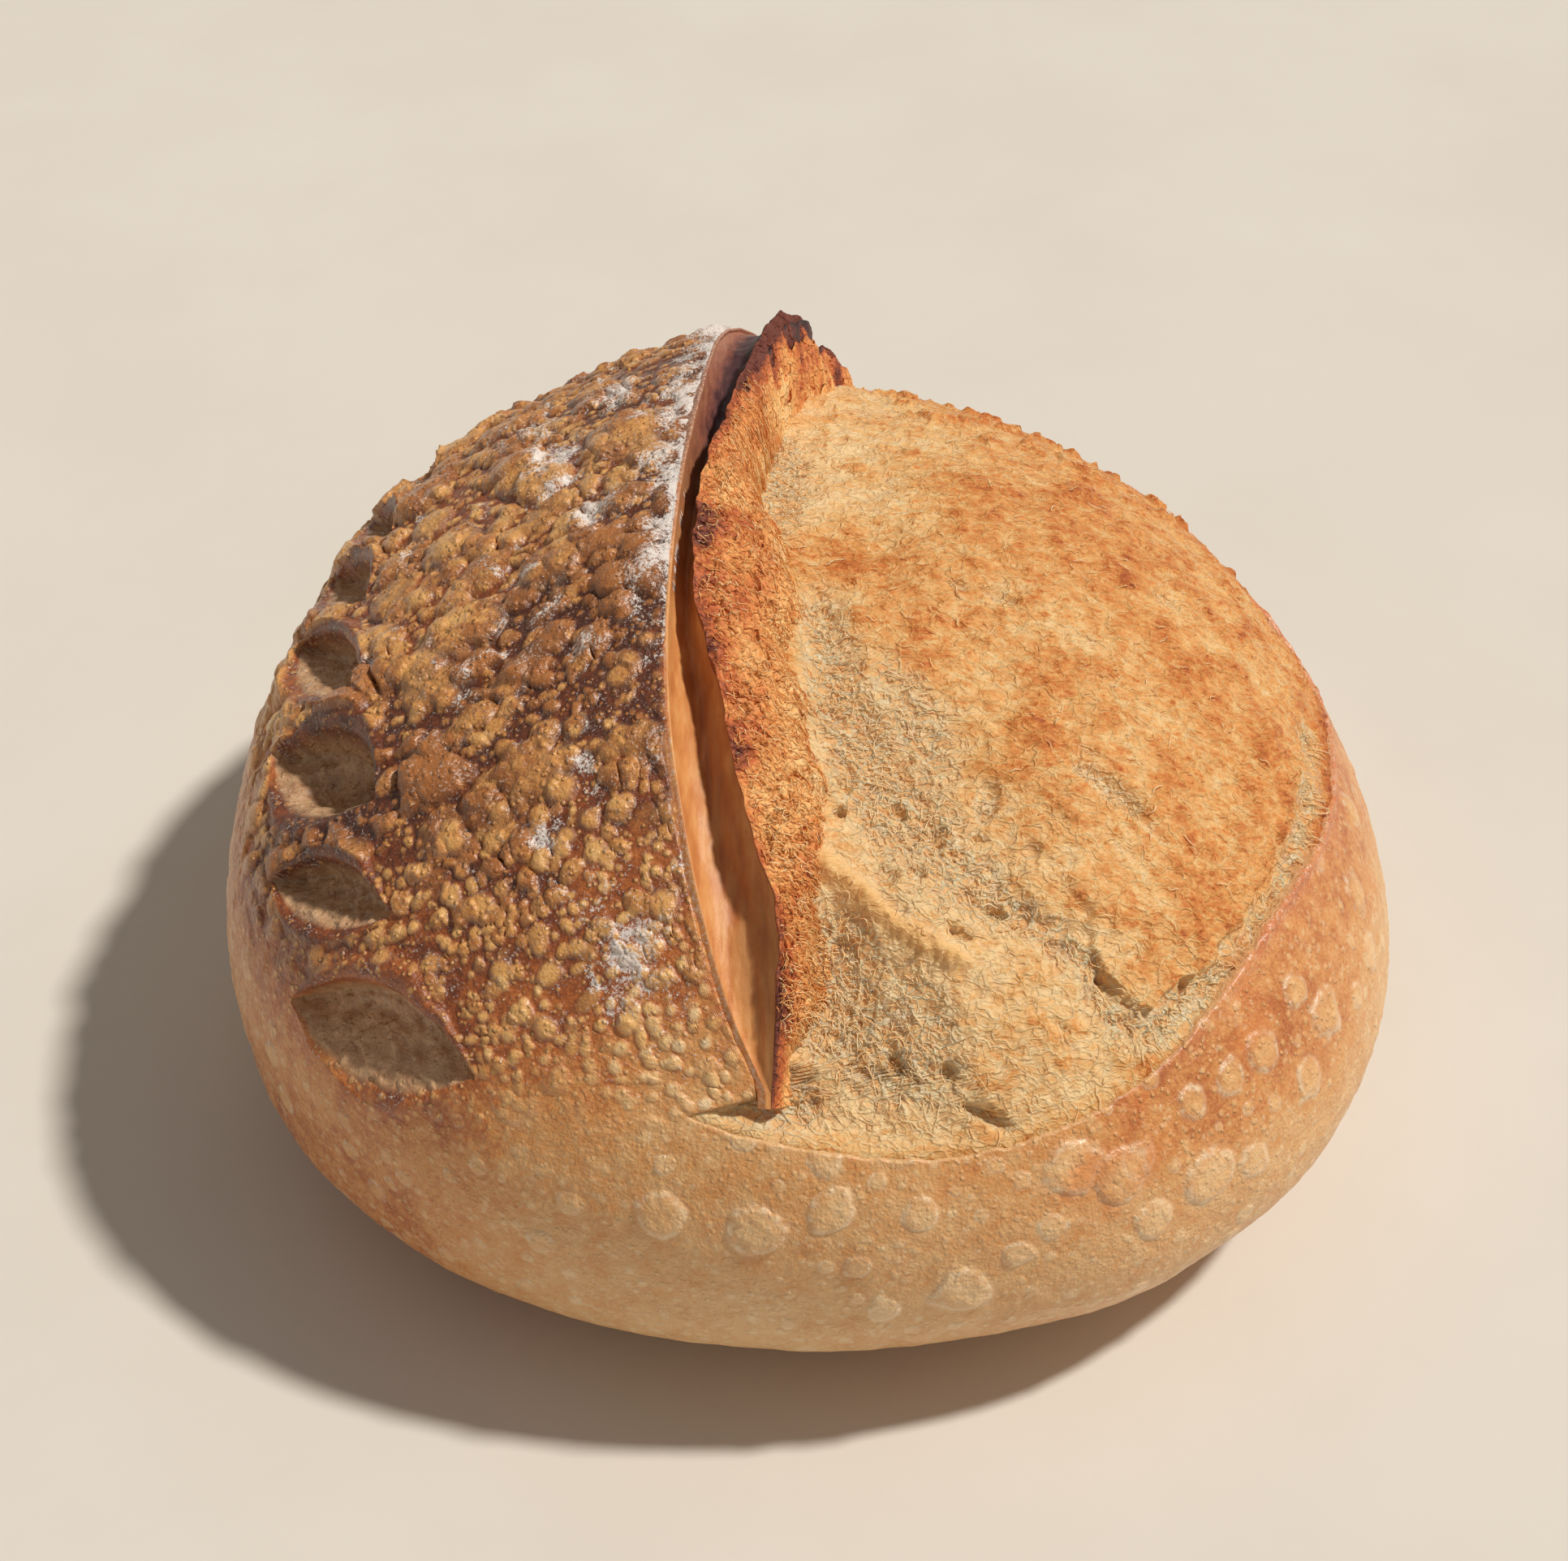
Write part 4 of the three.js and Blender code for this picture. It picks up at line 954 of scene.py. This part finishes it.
# Painted shade in the cells: the toast is a little higher away from the cell walls, so the cells are darker.
toast = plus(tree, "toast", sway(tree, fine, 0.2), sway(tree, middle, 0.14),
             spread(tree, walls, 0.0, 1.2, 0.08, -0.08), flecks)
colour = steps(tree, toast, (0.0, 250, 216, 164), (0.28, 242, 194, 130), (0.5, 232, 166, 96),
               (0.75, 212, 126, 60), (1.0, 172, 86, 40))
# Painted shade in the cells: the pale crumb is darker away from the walls and threads.
pale = steps(tree, sum_of(tree, "MULTIPLY_ADD", "thread", 0.3, walls), (0.1, 246, 190, 126),
             (0.4, 255, 218, 162), (0.9, 255, 236, 200))
# Painted shade in the cells: a darker orange laid over the crumb, deeper into each cell.
pit = times(tree, "pit", spread(tree, middle, 0.35, 0.6, 0.5, 1.0))
band_colour = steps(tree, fine, (0.3, 222, 162, 92), (0.7, 248, 208, 142))
colour = painted(tree, colour, (spread(tree, "pale", 0.15, 0.85, 0.0, 0.9), pale),
                 (spread(tree, pit, 0.12, 0.75, 0.0, 0.3), tone(226, 150, 84)),
                 (spread(tree, "band", 0.3, 0.9, 0.0, 0.85), band_colour))
relief = times(tree, walls, spread(tree, "pale", 0.0, 0.8, 0.45, 1.0))
relief = times(tree, relief, spread(tree, "band", 0.2, 0.8, 1.0, 0.4))
raised = bump(tree, 0.9, 0.0005, relief, Normal=bump(tree, 0.6, 0.0003, fine))
feed(tree, skin, {"Base Color": colour, "Roughness": spread(tree, walls, 0.1, 1.1, 0.55, 0.2), "Normal": raised,
                  "Specular IOR Level": 0.3, "Subsurface Weight": 0.4, "Subsurface Radius": (1.0, 0.95, 0.9),
                  "Subsurface Scale": 0.0012})
bloom.data.materials.append(open_crumb)

# Torn gluten threads: fine glossy strands of dough that pulled out of the crumb as it tore and dried where they lay.
# They curl over the bloom and across the ear's torn side.
def lay_strands(name, seed, count, draw_roots, surface, heading, lengths, lift, thick, material):
    draw = np.random.default_rng(seed)
    roots = draw_roots(draw, count)
    bends, around = 6, np.radians([30, 150, 270])
    turn = np.radians(heading(roots, draw))
    length = lengths[0] + (lengths[1] - lengths[0]) * draw.random(len(roots)) ** 2
    curl = draw.normal(0, 0.42, (len(roots), bends + 1)).cumsum(axis=1)
    angle = turn[:, None] + curl - curl.mean(axis=1, keepdims=True)
    hops = np.stack([np.cos(angle), np.sin(angle)], -1) * (length / bends)[:, None, None]
    line = roots[:, None, :] + hops.cumsum(axis=1) - hops[:, :1]
    t = np.linspace(0, 1, bends + 1)
    rise = lift * draw.uniform(0.2, 1.0, len(roots))[:, None] * np.sin(math.pi * t) - 0.08
    flat_line = line.reshape(-1, 2)
    centre, up = surface(flat_line[:, 0], flat_line[:, 1])
    centre = (centre + up * rise.ravel()[:, None]).reshape(len(roots), bends + 1, 3)
    up = up.reshape(centre.shape)
    run = unit(np.gradient(centre, axis=1))
    side = unit(np.cross(run, up))
    over = np.cross(side, run)
    radius = thick * draw.uniform(0.6, 1.5, len(roots))[:, None] * np.sin(math.pi * (0.12 + 0.76 * t))
    rings = centre[:, 1:-1, None, :] + radius[:, 1:-1, None, None] * (
        np.cos(around)[:, None] * side[:, 1:-1, None, :] + np.sin(around)[:, None] * over[:, 1:-1, None, :])
    points = np.concatenate([centre[:, :1], rings.reshape(len(roots), -1, 3), centre[:, -1:]], axis=1)
    each = points.shape[1]
    faces = [(0, 1 + (k + 1) % 3, 1 + k) for k in range(3)]
    for ring in range(bends - 2):
        first = 1 + 3 * ring
        faces += [(first + k, first + (k + 1) % 3, first + 3 + (k + 1) % 3, first + 3 + k) for k in range(3)]
    faces += [(each - 4 + k, each - 4 + (k + 1) % 3, each - 1) for k in range(3)]
    mesh = bpy.data.meshes.new(name)
    mesh.from_pydata((points.reshape(-1, 3) / 1000).tolist(), [],
                     [tuple(i + each * n for i in face) for n in range(len(roots)) for face in faces])
    keep_masks(mesh, {"own": np.repeat(draw.random(len(roots)), each)})
    piece = bpy.data.objects.new(name, mesh)
    bpy.context.collection.objects.link(piece)
    bpy.ops.object.select_all(action="DESELECT")
    piece.select_set(True)
    bpy.context.view_layer.objects.active = piece
    turn_faces_out()
    bpy.ops.object.shade_smooth()
    mesh.materials.append(material)
    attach(piece, "root")
    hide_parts("loaf")


def strand_finish(name, *stops):
    material, tree, skin = new_finish(name)
    shade = plus(tree, "own", sway(tree, speckle(tree, 3, 3), 0.2))
    feed(tree, skin, {"Base Color": steps(tree, shade, *stops), "Roughness": 0.42, "Specular IOR Level": 0.35})
    return material


def bloom_roots(draw, count):
    place = np.stack([draw.uniform(-14, 86, count * 8), draw.uniform(-101, 60, count * 8)], -1)
    x, y = place.T
    within = (inside_bloom(way_over(x, y)) > 2.2) & (x > along(FOOT_LINE, y) + 0.5)
    place = place[within]
    openness = crumb(*place.T)[1]["pale"]
    return place[draw.random(len(place)) < 0.03 + 0.97 * openness**1.5][:count]


def bloom_surface(x, y):
    way = way_over(x, y)
    up = dome_normal(way)
    return dome(way) + up * (crumb(x, y)[0] + 0.1)[:, None], up


def bloom_heading(roots, draw):
    slope = along(THREAD_SLOPE, roots[:, 1])
    return -np.degrees(np.arctan(slope)) + draw.normal(0, 44, len(roots))


lay_strands("crumb_strands", 21, 3600, bloom_roots, bloom_surface, bloom_heading, (0.8, 4.2), 0.4, 0.08,
            strand_finish("cream_strands", (0.0, 246, 192, 128), (0.35, 254, 212, 152),
                          (0.8, 255, 228, 180)))


def ear_roots(draw, count):
    y = -90 + 128 * draw.beta(1.0, 1.25, count)
    _, _, crest, _, foot, _ = score_lines(y)
    return np.stack([crest + (foot - crest) * np.minimum(1.06, draw.beta(1.2, 0.8, count) * 1.1 - 0.03), y], -1)


def ear_surface(x, y):
    _, _, crest, _, foot, _ = score_lines(y)
    share = (x - crest) / (foot - crest)
    u = np.interp(share, (0, 0.3, 0.58, 0.84, 1.0, 1.4), (3, 4, 5, 6, 7, 8)) / 8
    v = (y - SCORE_FRONT) / SCORE_LENGTH
    here, beside, further = (ear_shape(a, b)[0] for a, b in ((u, v), (u - 0.03, v), (u, v + 0.006)))
    return here, unit(np.cross(further - here, beside - here))


def ear_heading(roots, draw):
    return draw.normal(0, 38, len(roots))


lay_strands("ear_strands", 22, 3800, ear_roots, ear_surface, ear_heading, (0.8, 3.8), 0.8, 0.075,
            strand_finish("toasted_strands", (0.0, 222, 134, 66), (0.35, 244, 170, 96),
                          (0.7, 252, 202, 134), (1.0, 255, 228, 176)))

# A plain pale table top that the loaf stands on, lit from the right by one strong lamp and softly all round.
bpy.ops.object.select_all(action="DESELECT")
bpy.ops.mesh.primitive_plane_add(size=12, location=(0, 0, 0))
floor = bpy.context.object
floor.name = "table_top"
table, tree, skin = new_finish("pale_table")
table_colour = steps(tree, speckle(tree, 90, 4), (0.3, 221, 215, 205), (0.7, 226, 221, 212))
feed(tree, skin, {"Base Color": table_colour, "Roughness": 0.75})
floor.data.materials.append(table)

bpy.ops.object.light_add(type="SUN", location=(0.6, 0, 0.9))
lamp = bpy.context.object
lamp.data.angle = math.radians(5)
lamp.data.energy = 2.9
lamp.data.color = (1.0, 0.95, 0.88)
lamp.rotation_euler = Vector((0.543, 0.045, 0.839)).to_track_quat("Z", "Y").to_euler()
sky = bpy.data.worlds.new("soft_room")
bpy.context.scene.world = sky
sky.use_nodes = True
sky.node_tree.nodes["Background"].inputs["Color"].default_value = (1.0, 0.93, 0.86, 1)
sky.node_tree.nodes["Background"].inputs["Strength"].default_value = 0.25
bpy.context.scene.view_settings.view_transform = "Standard"

bpy.ops.object.camera_add(location=(-0.00518, -0.39834, 0.38119), rotation=(math.radians(50), 0, 0))
camera = bpy.context.object
camera.data.sensor_fit = "HORIZONTAL"
camera.data.sensor_width = 36
camera.data.lens = 66.41
bpy.context.scene.camera = camera
